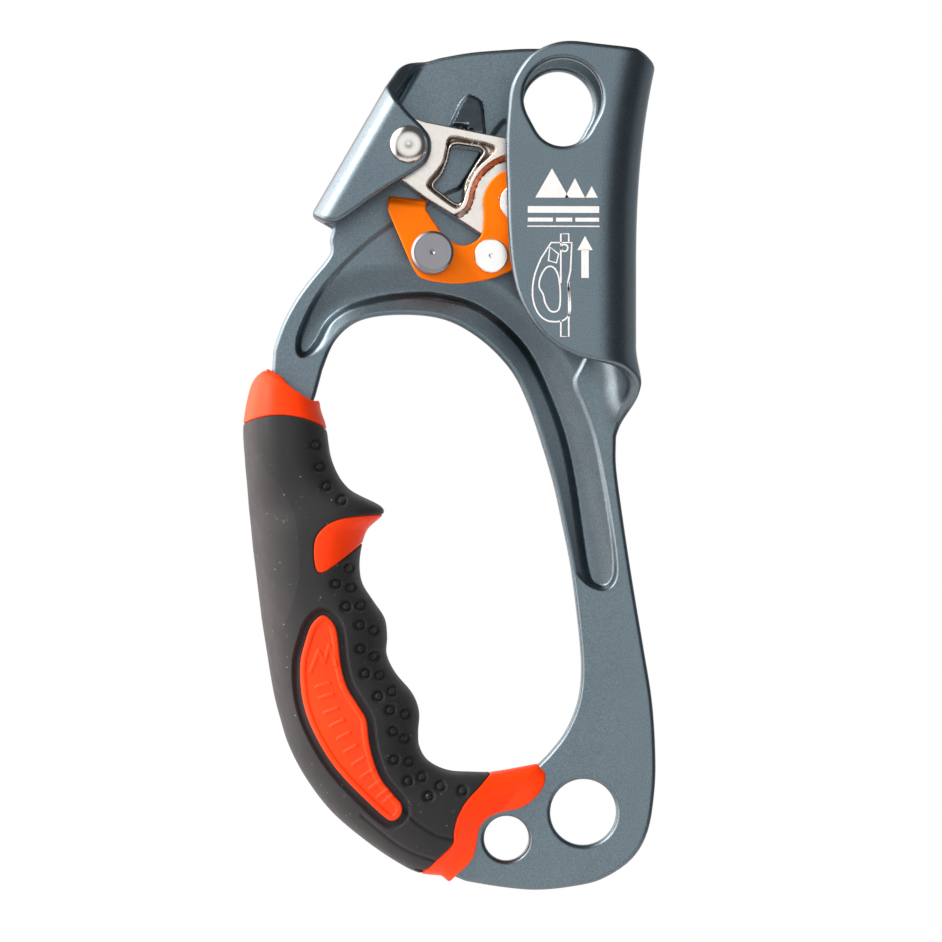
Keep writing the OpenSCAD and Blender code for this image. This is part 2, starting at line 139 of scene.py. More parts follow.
class Grid:
    """Values on a flat grid, read smoothly at any place."""

    def __init__(self, low, high, step):
        self.low = np.array(low, float)
        self.step = step
        size = [int(math.ceil((b - a) / step)) + 2 for a, b in zip(low, high)]
        places = [self.low[a] + step * np.arange(size[a]) for a in (0, 1)]
        self.u, self.v = np.meshgrid(*places, indexing="ij")
        self.values = np.zeros(size)

    def soften(self, rounds=1):
        for _ in range(rounds):
            for axis in (0, 1):
                d = np.moveaxis(self.values, axis, 0)
                d[1:-1] = 0.25 * (d[:-2] + d[2:]) + 0.5 * d[1:-1]
        return self

    def __call__(self, u, v):
        d = self.values
        i = np.clip((u - self.low[0]) / self.step, 0, d.shape[0] - 1.001)
        j = np.clip((v - self.low[1]) / self.step, 0, d.shape[1] - 1.001)
        i0 = i.astype(np.int32)
        j0 = j.astype(np.int32)
        i = i - i0
        j = j - j0
        low = d[i0, j0] * (1 - i) + d[i0 + 1, j0] * i
        high = d[i0, j0 + 1] * (1 - i) + d[i0 + 1, j0 + 1] * i
        return low * (1 - j) + high * j


def line_distance(grid, points, closed):
    """Squared distance from the grid's places to a line of points, and whether they lie inside it."""
    best = np.full(grid.u.shape, 1e12)
    inside = np.zeros(grid.u.shape, bool)
    ends = np.roll(points, -1, 0) if closed else points[1:]
    for a, b in zip(points, ends):
        d = b - a
        length = max(d @ d, 1e-12)
        t = np.clip(((grid.u - a[0]) * d[0] + (grid.v - a[1]) * d[1]) / length, 0, 1)
        np.minimum(best, (grid.u - a[0] - t * d[0]) ** 2 + (grid.v - a[1] - t * d[1]) ** 2, out=best)
        if closed and a[1] != b[1]:
            crosses = (a[1] > grid.v) != (b[1] > grid.v)
            inside ^= crosses & (grid.u < d[0] * (grid.v - a[1]) / d[1] + a[0])
    return best, inside


def plan(*outlines, step=0.4, pad=5.0, soft=1):
    """Signed distance to flat outlines: the first is the shape, and the others are holes in it."""
    outer = outlines[0]
    grid = Grid(outer.min(0) - pad, outer.max(0) + pad, step)
    for k, outline in enumerate(outlines):
        squared, inside = line_distance(grid, outline, True)
        signed = np.where(inside, -1, 1) * np.sqrt(squared)
        grid.values = signed if k == 0 else np.maximum(grid.values, -signed)
    return grid.soften(soft)


def smooth_plan(points, steps, **how):
    """Signed distance to the closed smooth curve through the given points."""
    return plan(spline(points, steps, closed=True), **how)


def track(points, step=0.3, pad=4.0):
    """Distance to an open line."""
    grid = Grid(points.min(0) - pad, points.max(0) + pad, step)
    grid.values = np.sqrt(line_distance(grid, points, False)[0])
    return grid


def ease(t):
    """0 below 0, 1 above 1 and smooth between."""
    t = np.clip(t, 0, 1)
    return t * t * (3 - 2 * t)


def point_distance(place, x, z):
    """Distance from a place of the sheet's plane."""
    return np.hypot(x - place[0], z - place[1])


def bell(d, width):
    """1 at 0, and close to 0 beyond twice the width."""
    return np.exp(-((d / width) ** 2))


def meet(a, b, r):
    """Where both shapes are, with their shared edge rounded to radius r."""
    return np.minimum(np.maximum(a, b), -r) + np.hypot(np.maximum(a + r, 0), np.maximum(b + r, 0))


# ---- Meshes from fields ----

BLOCK = 8
CORNERS = [(i, j, k) for i in (0, 1) for j in (0, 1) for k in (0, 1)]


def sample(field, low, cells, step):
    """Field values on a grid, worked out only in the blocks that the surface can cross."""
    blocks = [-(-c // BLOCK) for c in cells]
    centre = [low[a] + step * (BLOCK * np.arange(blocks[a]) + (BLOCK - 1) / 2) for a in range(3)]
    coarse = field(*np.meshgrid(*centre, indexing="ij"))
    near = np.argwhere(np.abs(coarse) < step * BLOCK * 1.6)
    values = coarse.astype(np.float32).repeat(BLOCK, 0).repeat(BLOCK, 1).repeat(BLOCK, 2)
    inner = np.arange(BLOCK)
    for start in range(0, len(near), 1000):
        part = near[start:start + 1000] * BLOCK
        i = (part[:, 0, None] + inner)[:, :, None, None]
        j = (part[:, 1, None] + inner)[:, None, :, None]
        k = (part[:, 2, None] + inner)[:, None, None, :]
        i, j, k = np.broadcast_arrays(i, j, k)
        values[i, j, k] = field(low[0] + step * i, low[1] + step * j, low[2] + step * k)
    return values


def net(values, low, step):
    """Points and four-sided faces of the surface where the values pass through 0."""
    inside = values < 0
    full = np.zeros([n - 1 for n in values.shape], np.uint8)
    for i, j, k in CORNERS:
        full += inside[i:i + full.shape[0], j:j + full.shape[1], k:k + full.shape[2]]
    cells = np.flatnonzero((full > 0) & (full < 8))
    place = np.stack(np.unravel_index(cells, full.shape), 1)
    corner = {c: values[place[:, 0] + c[0], place[:, 1] + c[1], place[:, 2] + c[2]] for c in CORNERS}
    total = np.zeros((len(cells), 3))
    count = np.zeros(len(cells))
    for axis in range(3):
        for c in CORNERS:
            if c[axis]:
                continue
            p = corner[c]
            q = corner[tuple(1 if a == axis else c[a] for a in range(3))]
            cut = (p < 0) != (q < 0)
            point = np.tile(np.array(c, float), (len(cells), 1))
            point[:, axis] = p / np.where(cut, p - q, 1)
            total += point * cut[:, None]
            count += cut
    points = np.array(low) + step * (place + total / count[:, None])
    faces = []
    for axis in range(3):
        b, c = (axis + 1) % 3, (axis + 2) % 3
        window = [slice(1, n - 1) for n in values.shape]
        window[axis] = slice(0, values.shape[axis] - 1)
        ahead = list(window)
        ahead[axis] = slice(1, values.shape[axis])
        here, there = inside[tuple(window)], inside[tuple(ahead)]
        for solid_first in (True, False):
            edge = np.argwhere(here & ~there if solid_first else ~here & there)
            edge[:, b] += 1
            edge[:, c] += 1
            ring = []
            for db, dc in ((1, 1), (0, 1), (0, 0), (1, 0)):
                cell = edge.copy()
                cell[:, b] -= db
                cell[:, c] -= dc
                ring.append(np.searchsorted(cells, np.ravel_multi_index(tuple(cell.T), full.shape)))
            faces.append(np.stack(ring if solid_first else ring[::-1], 1))
    return points, np.concatenate(faces)


def slope_of(field, points, h=0.08):
    """The field's slope at each point."""
    slope = np.zeros(points.shape)
    for axis in range(3):
        shift = np.zeros(3)
        shift[axis] = h
        slope[:, axis] = (field(*(points + shift).T) - field(*(points - shift).T)) / (2 * h)
    return slope


def settle(field, points, reach, rounds=2):
    """The points drawn onto the field's surface."""
    for _ in range(rounds):
        slope = slope_of(field, points)
        steepness = np.maximum((slope**2).sum(1), 0.05)
        points = points - slope * np.clip(field(*points.T) / steepness, -reach, reach)[:, None]
    return points


def add_object(name, data):
    made = bpy.data.objects.new(name, data)
    bpy.context.scene.collection.objects.link(made)
    return made


def new_mesh(name, points, faces):
    """A mesh object from points in millimetres and equal-sided faces."""
    mesh = bpy.data.meshes.new(name)
    faces = np.array(faces)
    mesh.vertices.add(len(points))
    mesh.vertices.foreach_set("co", (np.array(points) * MM).astype(np.float32).ravel())
    mesh.loops.add(faces.size)
    mesh.loops.foreach_set("vertex_index", faces.astype(np.int32).ravel())
    mesh.polygons.add(len(faces))
    mesh.polygons.foreach_set("loop_start", np.arange(0, faces.size, faces.shape[1], dtype=np.int32))
    mesh.update(calc_edges=True)
    mesh.shade_smooth()
    return add_object(name, mesh)


def vertices_of(mesh):
    co = np.zeros(len(mesh.vertices) * 3, np.float32)
    mesh.vertices.foreach_get("co", co)
    return co.reshape(-1, 3).astype(float) / MM


def sculpt(name, field, low, high, step, most):
    """A piece whose surface is where the field is 0, with at most so many triangles."""
    step = step * COARSE
    low = np.array(low, float) - 1.5 * step
    cells = [int(math.ceil((b - a) / step)) + 2 for a, b in zip(low, high)]
    points, faces = net(sample(field, low, cells, step), low, step)
    piece = new_mesh(name, settle(field, points, step), faces)
    if 2 * len(faces) > most:
        thinner = piece.modifiers.new("thinner", "DECIMATE")
        thinner.ratio = most / (2 * len(faces))
        thin = bpy.data.meshes.new_from_object(piece.evaluated_get(bpy.context.evaluated_depsgraph_get()))
        piece.modifiers.clear()
        piece.data = thin
    points = settle(field, vertices_of(piece.data), step / 2, 1)
    piece.data.vertices.foreach_set("co", (points * MM).astype(np.float32).ravel())
    normals = slope_of(field, points)
    normals /= np.maximum(np.linalg.norm(normals, axis=1), 1e-9)[:, None]
    piece.data.shade_smooth()
    piece.data.normals_split_custom_set_from_vertices(normals.tolist())
    piece.data.update()
    return piece


def sculpt_node(name, node, field, step, most):
    """A sculpted piece in the place of one CAD node."""
    low, high = box(node)
    return sculpt(name, field, low - 1, high + 1, step, most)


def mirrored(piece, name):
    """The same piece on the other side of the sheet."""
    mesh = piece.data.copy()
    mesh.name = name
    normals = np.array([n.vector for n in mesh.vertex_normals]) * [1, -1, 1]
    mesh.transform(Matrix.Scale(-1, 4, (0, 1, 0)))
    mesh.flip_normals()
    mesh.normals_split_custom_set_from_vertices(normals.tolist())
    return add_object(name, mesh)


# ---- Turned parts and wires ----


def rounded(profile, radius, steps=4):
    """A profile's corners, rounded. The first and last points stay."""
    p = [np.array(q, float) for q in profile]
    made = [p[0]]
    for a, b, c in zip(p, p[1:], p[2:]):
        before, after = a - b, c - b
        cut = min(radius, np.linalg.norm(before) / 2.1, np.linalg.norm(after) / 2.1)
        start = b + before / np.linalg.norm(before) * cut
        end = b + after / np.linalg.norm(after) * cut
        for k in range(steps + 1):
            t = k / steps
            made.append((1 - t) ** 2 * start + 2 * t * (1 - t) * b + t * t * end)
    made.append(p[-1])
    return made


def tube_faces(rings, sides):
    """Four-sided faces between rings of points."""
    i, k = np.meshgrid(np.arange(rings - 1) * sides, np.arange(sides), indexing="ij")
    n = (k + 1) % sides
    return np.stack([i + k, i + sides + k, i + sides + n, i + n], -1).reshape(-1, 4)


def turned(name, centre, profile, segments=96, knurl=None):
    """A part turned about Y through centre. The profile is (radius, y) from the front to the back."""
    angle = np.arange(segments) * 2 * math.pi / segments
    points = []
    for radius, y in profile:
        r = radius + (knurl(angle, radius, y) if knurl else 0)
        points += [(centre[0] + a * math.cos(t), y, centre[1] + a * math.sin(t))
                   for a, t in zip(np.broadcast_to(r, angle.shape), angle)]
    piece = new_mesh(name, points, tube_faces(len(profile), segments))
    mend(piece)
    piece.data.set_sharp_from_angle(angle=math.radians(42))
    return piece


def mend(piece):
    """Welds the points on the axis, closes open ends and turns the faces outwards."""
    work = bmesh.new()
    work.from_mesh(piece.data)
    bmesh.ops.remove_doubles(work, verts=work.verts, dist=1e-7)
    bmesh.ops.holes_fill(work, edges=work.edges, sides=0)
    bmesh.ops.recalc_face_normals(work, faces=work.faces)
    work.to_mesh(piece.data)
    work.free()
    piece.data.shade_smooth()


def wire(name, points, radius, sides=14):
    """A round wire through points, with rounded ends."""
    p = np.array(points, float)
    step = np.gradient(p, axis=0)
    step /= np.linalg.norm(step, axis=1)[:, None]
    side = np.cross(step, [0, 1, 0])
    side /= np.linalg.norm(side, axis=1)[:, None]
    up = np.cross(side, step)
    ring = np.arange(sides) * 2 * math.pi / sides
    made = []
    stations = [(0, -1.0, 0.02), (0, -0.7, 0.7)] + [(i, 0.0, 1.0) for i in range(len(p))]
    stations += [(len(p) - 1, 0.7, 0.7), (len(p) - 1, 1.0, 0.02)]
    for i, along, size in stations:
        centre = p[i] + step[i] * along * radius
        made += [centre + radius * size * (side[i] * math.cos(a) + up[i] * math.sin(a)) for a in ring]
    piece = new_mesh(name, made, tube_faces(len(stations), sides))
    mend(piece)
    return piece


# ---- Materials ----

RING_STEP = 0.32  # from one turning mark to the next


class Nodes:
    """The node tree of a material or of the world."""

    def __init__(self, owner):
        owner.use_nodes = True
        self.tree = owner.node_tree

    def node(self, kind, **values):
        """A node with some of its settings, or of its inputs by their names."""
        made = self.tree.nodes.new(kind)
        for key, value in values.items():
            if hasattr(made, key):
                setattr(made, key, value)
            else:
                made.inputs[key.replace("_", " ")].default_value = value
        return made

    def link(self, source, target):
        """Feeds a node's output, or else a plain value, into an input."""
        if isinstance(source, bpy.types.NodeSocket):
            self.tree.links.new(source, target)
        else:
            target.default_value = source

    def maths(self, kind, operation, source, value=None, result=0, second=1):
        """One step of a sum on vectors ("VectorMath") or on numbers ("Math")."""
        made = self.node("ShaderNode" + kind, operation=operation)
        if value is not None:
            self.link(value, made.inputs[second])
        self.link(source, made.inputs[0])
        return made.outputs[result]

    def smooth_step(self, source, start, full, low=0.0, high=1.0):
        """A value that goes smoothly from low to high while the source goes from start to full."""
        made = self.node("ShaderNodeMapRange", interpolation_type="SMOOTHSTEP",
                         From_Min=start, From_Max=full, To_Min=low, To_Max=high)
        self.link(source, made.inputs["Value"])
        return made.outputs["Result"]


class Look(Nodes):
    """A procedural material, built up step by step."""

    def __init__(self, name, color, rough, metal=0.0, specular=0.5):
        self.material = bpy.data.materials.new(name)
        super().__init__(self.material)
        self.shader = self.tree.nodes["Principled BSDF"]
        self.set("Base Color", (*color, 1))
        self.set("Roughness", rough)
        self.set("Metallic", metal)
        self.set("Specular IOR Level", specular)
        self.place = self.node("ShaderNodeTexCoord").outputs["Object"]
        self.normal = None

    def set(self, name, value):
        self.shader.inputs[name].default_value = value

    def noise(self, per_mm, detail=3.0, roughness=0.55):
        """Noise with so many features per millimetre."""
        made = self.node("ShaderNodeTexNoise", Scale=per_mm * 1000, Detail=detail, Roughness=roughness)
        self.link(self.place, made.inputs["Vector"])
        return made.outputs["Fac"]

    def ramp(self, source, stops):
        """Colours or grey levels for a value from 0 to 1."""
        made = self.node("ShaderNodeValToRGB")
        made.color_ramp.elements.remove(made.color_ramp.elements[1])
        for k, (position, level) in enumerate(stops):
            stop = made.color_ramp.elements[0] if k == 0 else made.color_ramp.elements.new(position)
            stop.position = position
            stop.color = (*level, 1) if hasattr(level, "__len__") else (level, level, level, 1)
        self.link(source, made.inputs["Fac"])
        return made.outputs["Color"]

    def patches(self, start, full, most, *noise):
        """A mask of soft patches: 0 where the noise is under start, and most where it is over full."""
        return self.ramp(self.noise(*noise), [(start, 0.0), (full, most)])

    def mix(self, kind, name, mask, value):
        """Mixes a value into one of the shader's inputs where the mask is 1."""
        made = self.node("ShaderNodeMix", data_type=kind)
        target = self.shader.inputs[name]
        if target.is_linked:
            self.link(target.links[0].from_socket, made.inputs["A"])
        else:
            made.inputs["A"].default_value = target.default_value
        made.inputs["B"].default_value = value
        self.link(mask, made.inputs["Factor"])
        self.link(made.outputs["Result"], target)

    def tint(self, mask, color):
        self.mix("RGBA", "Base Color", mask, (*color, 1))

    def tint_rough(self, mask, rough):
        self.mix("FLOAT", "Roughness", mask, rough)

    def bump(self, height, depth_mm, strength=1.0):
        made = self.node("ShaderNodeBump", Strength=strength, Distance=depth_mm * MM)
        self.link(height, made.inputs["Height"])
        if self.normal:
            self.link(self.normal, made.inputs["Normal"])
        self.normal = made.outputs["Normal"]
        self.link(self.normal, self.shader.inputs["Normal"])

    def painted_hollow_shade(self, color, start, full):
        """Painted shade and reflection: another colour in the inner edges and hollows, where Pointiness
        falls from start to full, both under 0.5.
        """
        sharpness = self.node("ShaderNodeNewGeometry").outputs["Pointiness"]
        self.tint(self.ramp(sharpness, [(full, 1.0), (start, 0.0)]), color)


def anodised_sheet():
    look = Look("anodised_sheet", (0.108, 0.150, 0.180), 0.34, metal=1.0)
    cloud = look.noise(0.05, 4)
    look.tint(look.ramp(cloud, [(0.35, 0.0), (0.7, 0.35)]), (0.160, 0.205, 0.228))
    grain = look.noise(3.2, 2, 0.7)
    look.tint(look.ramp(grain, [(0.35, 0.0), (0.75, 0.8)]), (0.21, 0.255, 0.28))
    look.tint_rough(look.patches(0.3, 0.8, 0.5, 0.4, 4), 0.46)
    look.bump(grain, 0.012, 0.5)
    return look.material


def satin_steel():
    look = Look("satin_steel", (0.70, 0.665, 0.625), 0.24, metal=1.0)
    look.tint(look.patches(0.4, 0.75, 0.3, 0.15, 5), (0.60, 0.56, 0.52))
    look.tint_rough(look.patches(0.35, 0.7, 0.7, 0.8, 5), 0.36)
    # painted warm shade and reflection in the cam's hollows and inner edges
    look.painted_hollow_shade((0.13, 0.085, 0.06), 0.497, 0.47)
    look.bump(look.noise(2.0, 2, 0.5), 0.006, 0.4)
    return look.material


def polished_steel(name="polished_steel", color=(0.66, 0.64, 0.61), rough=0.14):
    look = Look(name, color, rough, metal=1.0)
    look.tint_rough(look.patches(0.35, 0.7, 0.6, 0.6, 5), rough + 0.12)
    look.bump(look.noise(1.4, 5, 0.6), 0.01, 0.4)
    return look.material


def ring_marks(name, centre, color, rough):
    """Turned metal with fine rings round its axis."""
    look = Look(name, color, rough, metal=1.0)
    away = look.maths("VectorMath", "SUBTRACT", look.place, (centre[0] * MM, 0, centre[1] * MM))
    level = look.maths("VectorMath", "MULTIPLY", away, (1, 0, 1))
    length = look.maths("VectorMath", "LENGTH", level, result="Value")
    wave = look.maths("Math", "MULTIPLY", length, 2 * math.pi / (RING_STEP * MM))
    look.bump(look.maths("Math", "SINE", wave), 0.006, 0.5)
    look.bump(look.noise(1.8, 4), 0.006, 0.4)
    look.tint_rough(look.patches(0.35, 0.7, 0.5, 0.5, 4), rough + 0.14)
    return look.material


def anodised_lever():
    look = Look("anodised_lever", (1.0, 0.185, 0.0), 0.36, metal=0.45, specular=0.15)
    look.tint(look.patches(0.4, 0.8, 0.35, 0.12, 4), (0.92, 0.165, 0.003))
    look.tint_rough(look.patches(0.3, 0.75, 0.5, 1.1, 4), 0.48)
    look.bump(look.noise(3.0, 3, 0.65), 0.008, 0.5)
    return look.material


def core_plastic(name="core_plastic", color=(0.98, 0.048, 0.002)):
    look = Look(name, color, 0.42, specular=0.2)
    # painted glow: the plastic gives off a faint light in its own colour
    look.set("Emission Color", (*color, 1))
    look.set("Emission Strength", 0.12)
    look.set("Subsurface Weight", 0.08)
    look.set("Subsurface Scale", 0.6 * MM)
    look.set("Subsurface Radius", (1.0, 0.2, 0.1))
    look.tint(look.patches(0.35, 0.8, 0.3, 0.09, 4), (0.90, 0.046, 0.002))
    look.tint_rough(look.patches(0.35, 0.75, 0.5, 0.7, 5), 0.5)
    look.bump(look.noise(1.6, 4, 0.55), 0.014, 0.4)
    return look.material


def grip_rubber():
    look = Look("grip_rubber", (0.024, 0.025, 0.027), 0.46, specular=0.17)
    look.set("Sheen Weight", 0.06)
    look.set("Sheen Roughness", 0.5)
    look.tint(look.patches(0.35, 0.75, 0.5, 0.07, 5), (0.036, 0.037, 0.039))
    dust = look.noise(0.55, 8, 0.75)
    look.tint(look.ramp(dust, [(0.62, 0.0), (0.72, 0.55)]), (0.17, 0.165, 0.155))
    specks = look.node("ShaderNodeTexVoronoi", Scale=420.0)
    look.link(look.place, specks.inputs["Vector"])
    look.tint(look.ramp(specks.outputs["Distance"], [(0.035, 0.8), (0.075, 0.0)]), (0.35, 0.34, 0.32))
    look.tint_rough(look.patches(0.3, 0.75, 0.8, 0.35, 5), 0.66)
    look.bump(look.noise(2.2, 5, 0.65), 0.03, 0.55)
    look.bump(look.noise(0.22, 3), 0.10, 0.25)
    return look.material


def bronze():
    look = Look("bushing_bronze", (0.52, 0.33, 0.14), 0.34, metal=1.0)
    look.tint(look.patches(0.4, 0.75, 0.5, 0.6, 5), (0.36, 0.22, 0.10))
    look.bump(look.noise(2.4, 4), 0.008, 0.5)
    return look.material


def spring_wire():
    look = Look("spring_wire", (0.34, 0.33, 0.32), 0.3, metal=1.0)
    look.tint(look.patches(0.4, 0.7, 0.5, 1.2, 4), (0.22, 0.21, 0.21))
    look.bump(look.noise(4.0, 3), 0.004, 0.4)
    return look.material


def print_ink():
    look = Look("print_ink", (0.80, 0.81, 0.81), 0.5, specular=0.3)
    look.tint(look.patches(0.45, 0.7, 0.4, 1.2, 5), (0.66, 0.68, 0.69))
    look.bump(look.noise(3.5, 3), 0.006, 0.5)
    return look.material


def dress(piece, material, body, slot, *nodes):
    """Gives a piece its material and its body, and hides the CAD nodes that it stands for. The slot is not
    used.
    """
    piece.data.materials.clear()
    piece.data.materials.append(material)
    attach(piece, body)
    if nodes:
        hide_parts(*nodes)
    return piece


# ---- The frame's flat pattern ----
# The frame is one sheet, folded round the rope channel on the right and over the cam at the upper left.
# U and V are places on the flat sheet. On the plate they are X and Z.

BEND_R = 8.5  # mid-sheet radius of the rope channel
FOLD_R = 3.75  # mid-sheet radius of each bend of the fold over the cam
FOLD_WEB = 6.0  # flat width between those two bends
FOLD_START = 5.9  # where the fold leaves the plate, from the cam's axis
FOLD_TURN = FOLD_R * math.pi / 2
FOLD_DEPTH = 2 * FOLD_R + FOLD_WEB
FOLD_ALONG = np.array([math.cos(math.radians(240)), math.sin(math.radians(240))])
FOLD_OUT = np.array([math.sin(math.radians(240)), -math.cos(math.radians(240))])
LEFT = -27.0  # left of this X a point belongs to the fold's side


def channel_x(z):
    """X of the channel bend's axis, which leans out at both ends."""
    at_top = 5.0 * np.clip((z - 125) / 50, 0, 1.1) ** 2.4
    at_bottom = 1.25 * ease((108 - z) / 9)
    return 1.35 + at_top + at_bottom


def channel_r(z):
    """The bend opens out to a flat plate below the channel's lip."""
    return BEND_R / np.maximum(ease((z - 83) / 16), 0.02)


def unfold(x, y, z):
    """U, V and the height over the middle of the sheet, for places in space."""
    axis = channel_x(z)
    radius = channel_r(z)
    turn = np.arctan2(x - axis, y + radius)
    in_bend = (x > axis)
    in_flap = ~in_bend & (y < -radius)
    u = np.where(in_bend, axis + radius * turn, np.where(in_flap, 2 * axis - x + math.pi * radius, x))
    w = np.where(in_bend, np.hypot(x - axis, y + radius) - radius, np.where(in_flap, -(y + 2 * radius), y))
    v = z
    out = (x - CAM_AXIS[0]) * FOLD_OUT[0] + (z - CAM_AXIS[1]) * FOLD_OUT[1]
    along = (x - CAM_AXIS[0]) * FOLD_ALONG[0] + (z - CAM_AXIS[1]) * FOLD_ALONG[1]
    p = out - FOLD_START
    turn_1 = np.arctan2(p, y + FOLD_R)
    turn_2 = np.arctan2(-(y + FOLD_R + FOLD_WEB), p)
    beyond = FOLD_TURN + FOLD_WEB
    bent = p > 0
    first, second = y > -FOLD_R, y < -FOLD_R - FOLD_WEB
    q = np.where(first, FOLD_R * turn_1, np.where(second, beyond + FOLD_R * turn_2, FOLD_TURN - FOLD_R - y))
    second_r = np.hypot(p, y + FOLD_R + FOLD_WEB)
    h = np.where(first, np.hypot(p, y + FOLD_R), np.where(second, second_r, p)) - FOLD_R
    under = y < -FOLD_DEPTH / 2
    q = np.where(bent, q, np.where(under, beyond + FOLD_TURN - p, p)) + FOLD_START
    h = np.where(bent, h, np.where(under, -(y + FOLD_DEPTH), y))
    left = x < LEFT
    u = np.where(left, CAM_AXIS[0] + q * FOLD_OUT[0] + along * FOLD_ALONG[0], u)
    v = np.where(left, CAM_AXIS[1] + q * FOLD_OUT[1] + along * FOLD_ALONG[1], v)
    return u, v, np.where(left, h, w)


def flap_flat(x, z):
    """The place on the flat sheet of a place on the channel's front flap."""
    x, z = np.array(x, float), np.array(z, float)
    axis = channel_x(z)
    return np.stack([2 * axis - x + math.pi * channel_r(z), z], -1)


def bend_flat(angle, z):
    """The place on the flat sheet of a place in the channel's bend, at an angle from the plate."""
    return [channel_x(z) + channel_r(z) * math.radians(angle), z]


def fold_flat(q, along):
    """The place on the flat sheet of a place on the cam's fold, out from the axle and along the fold."""
    return CAM_AXIS + q * FOLD_OUT + along * FOLD_ALONG


def folded(x, z, height=0.0):
    """A place in space at a height over the channel's flap, from X and Z as if the flap were flat."""
    x, z = np.array(x, float), np.array(z, float)
    axis = channel_x(z)
    reach = BEND_R + HALF + height
    turn = np.maximum(x - axis, 0) / (BEND_R + HALF)
    return np.stack([np.minimum(x, axis) + reach * np.sin(turn), -BEND_R - reach * np.cos(turn), z], -1)


PLATE_LEFT = [[-59, 133], [-58.7, 130.6], [-59.8, 128.3], [-63.7, 123.6], [-67, 119], [-70, 113.3],
              [-72, 107.5]]
PLATE_BOTTOM = [[-27.3, -15.9], [-19, -17.3], [-11, -18], [-3, -17.3], [4.2, -15.6], [11.2, -11],
                [15, -4.5], [16.6, 5], [16.8, 14], [16, 26], [14, 38.5], [11.4, 54.1], [9, 70],
                [7.7, 80], [7.6, 85]]
CHANNEL_LIP = [(7.7, 87.5), (8.7, 90.4), (10.2, 92.8), (12.4, 95.3), (14.8, 97.4), (17.4, 99.2),
               (20.8, 101.3), (23.8, 103.2), (28.4, 104.4)]
FLAP_BOTTOM = [[-2, 105.3], [-7.5, 108], [-12.2, 112.5], [-15.9, 119.3], [-17.7, 127.2], [-18.4, 136.3],
               [-18.6, 145]]
FLAP_TOP = [[-18.6, 159], [-17.9, 165.7], [-16.3, 169.8], [-13.4, 173.7], [-10, 175.8], [-6.6, 176.9],
            [-3.1, 177.1], [2.5, 176.5]]
BEND_TOP = [(150, 175.6), (122, 173.8), (93, 172.4), (60, 173.4), (30, 175.2), (0, 176.6)]
PLATE_TOP = [[-2, 177.5], [-12.8, 177.6], [-18.2, 177.3], [-26.3, 176.6], [-33.5, 175.3]]
FOLD_EDGE = [(5.9, -20.8), (9.8, -17.6), (12.2, -15), (16, -11.8), (20.7, -8.8), (25.3, -6.6),
             (30.8, -5.1), (33.6, -3.3), (35.1, 0.2), (34.2, 3.7), (29.5, 12.6), (25.4, 21.5),
             (23.6, 23.9)]
FOLD_END = [(22.3, 24.6), (14, 24.8), (5.9, 24.4)]
LOOP_EDGE = [[-60.6, 103], [-57.5, 109.9], [-51.7, 114.4], [-42, 115.7], [-32.1, 114.5], [-23.8, 109.9],
             [-17, 103], [-13, 95.3], [-9.8, 86], [-7, 76.5], [-4.9, 67], [-3, 57.5], [-1.6, 47],
             [-0.6, 37], [-0.6, 30], [-1.8, 24], [-4.6, 18], [-8.4, 13.2]]
ISLAND = [[-65.3, 107], [-64.7, 112.1], [-58.9, 122.6], [-47.2, 133.8], [-31.9, 142.9], [-27.7, 145.4],
          [-19.8, 158], [-17, 159.4], [-13, 152.5], [-3, 149.5], [0.8, 144], [1.2, 112], [-0.7, 105],
          [-2.6, 101.1], [-2.3, 98.3], [-0.7, 94.8], [2.1, 86.6], [4.9, 72.6], [6.8, 58.7], [6.2, 53.9],
          [3.6, 53.2], [1.4, 57], [-1.2, 75], [-3.5, 86.6], [-7.2, 97.1], [-12.4, 107.6], [-19.3, 115],
          [-26.3, 119.2], [-35.6, 121.2], [-42.6, 121], [-48.4, 120.1], [-55.4, 118], [-60, 114.5],
          [-62.6, 109.8]]
STOP_BUMP = [[-26.4, 166.7], [-24, 165.5], [-23.3, 163.7], [-23.1, 161.8], [-22.8, 157.8], [-22.6, 152],
             [-33.8, 152], [-31.6, 158.8], [-30, 162.4], [-28.8, 164.8], [-27.7, 166.2]]

# ---- The grip's stations ----
# From top to bottom: the grip's outer edge, its inner edge, its half depth,
# and how far the plate's two edges lie in from the outer edge.

GRIP_ROWS = np.array([
    [-73.6, 103.2, -61.3, 96.4, 8.5, 1.5, 13],
    [-77, 99.6, -61, 93.6, 10, 3.5, 15],
    [-78.9, 90.5, -59.8, 89.8, 12, 4.5, 16],
    [-78.6, 82, -58.3, 81.5, 13.5, 4.5, 16],
    [-78.1, 76, -54.5, 75.3, 14, 4.5, 16],
    [-77.7, 70.8, -46.4, 70.5, 14.2, 4.5, 16],
    [-77.2, 66, -50.2, 65.8, 14.4, 4.5, 16],
    [-76.8, 61.8, -51.6, 61.4, 14.4, 4.5, 16],
    [-76.2, 57, -52, 57.2, 14.5, 4.5, 16],
    [-75.7, 53, -51.3, 53.2, 14.5, 4.5, 16],
    [-75.2, 49, -48.8, 49.2, 14.5, 4.5, 16],
    [-74.7, 45, -46.2, 45.2, 14.5, 4.5, 16],
    [-74, 40.6, -45.6, 41, 14.5, 4.5, 16],
    [-73.3, 36.2, -45.7, 36.8, 14.5, 4.5, 16],
    [-72.6, 31.8, -43.6, 32.4, 14.5, 4.5, 16],
    [-71.7, 27, -39.8, 27.8, 14.5, 4.5, 16],
    [-70.5, 22.4, -38.2, 23.6, 14.5, 4.5, 16],
    [-68.4, 15.8, -38.4, 19, 14.3, 4.5, 16],
    [-64.4, 8.2, -38.1, 15.4, 14, 4.5, 16.5],
    [-58.6, 0.6, -36, 12, 13.5, 4, 18],
    [-51.5, -5.6, -31.5, 9.8, 12.5, 3.2, 21],
    [-44.5, -10.6, -26, 9.4, 11, 2.8, 24.5],
    [-38.5, -13.8, -20.5, 9.5, 9, 2, 27],
    [-33, -14.6, -10.5, 11.3, 6, 1, 33],
])
rows = spline(GRIP_ROWS, 24)
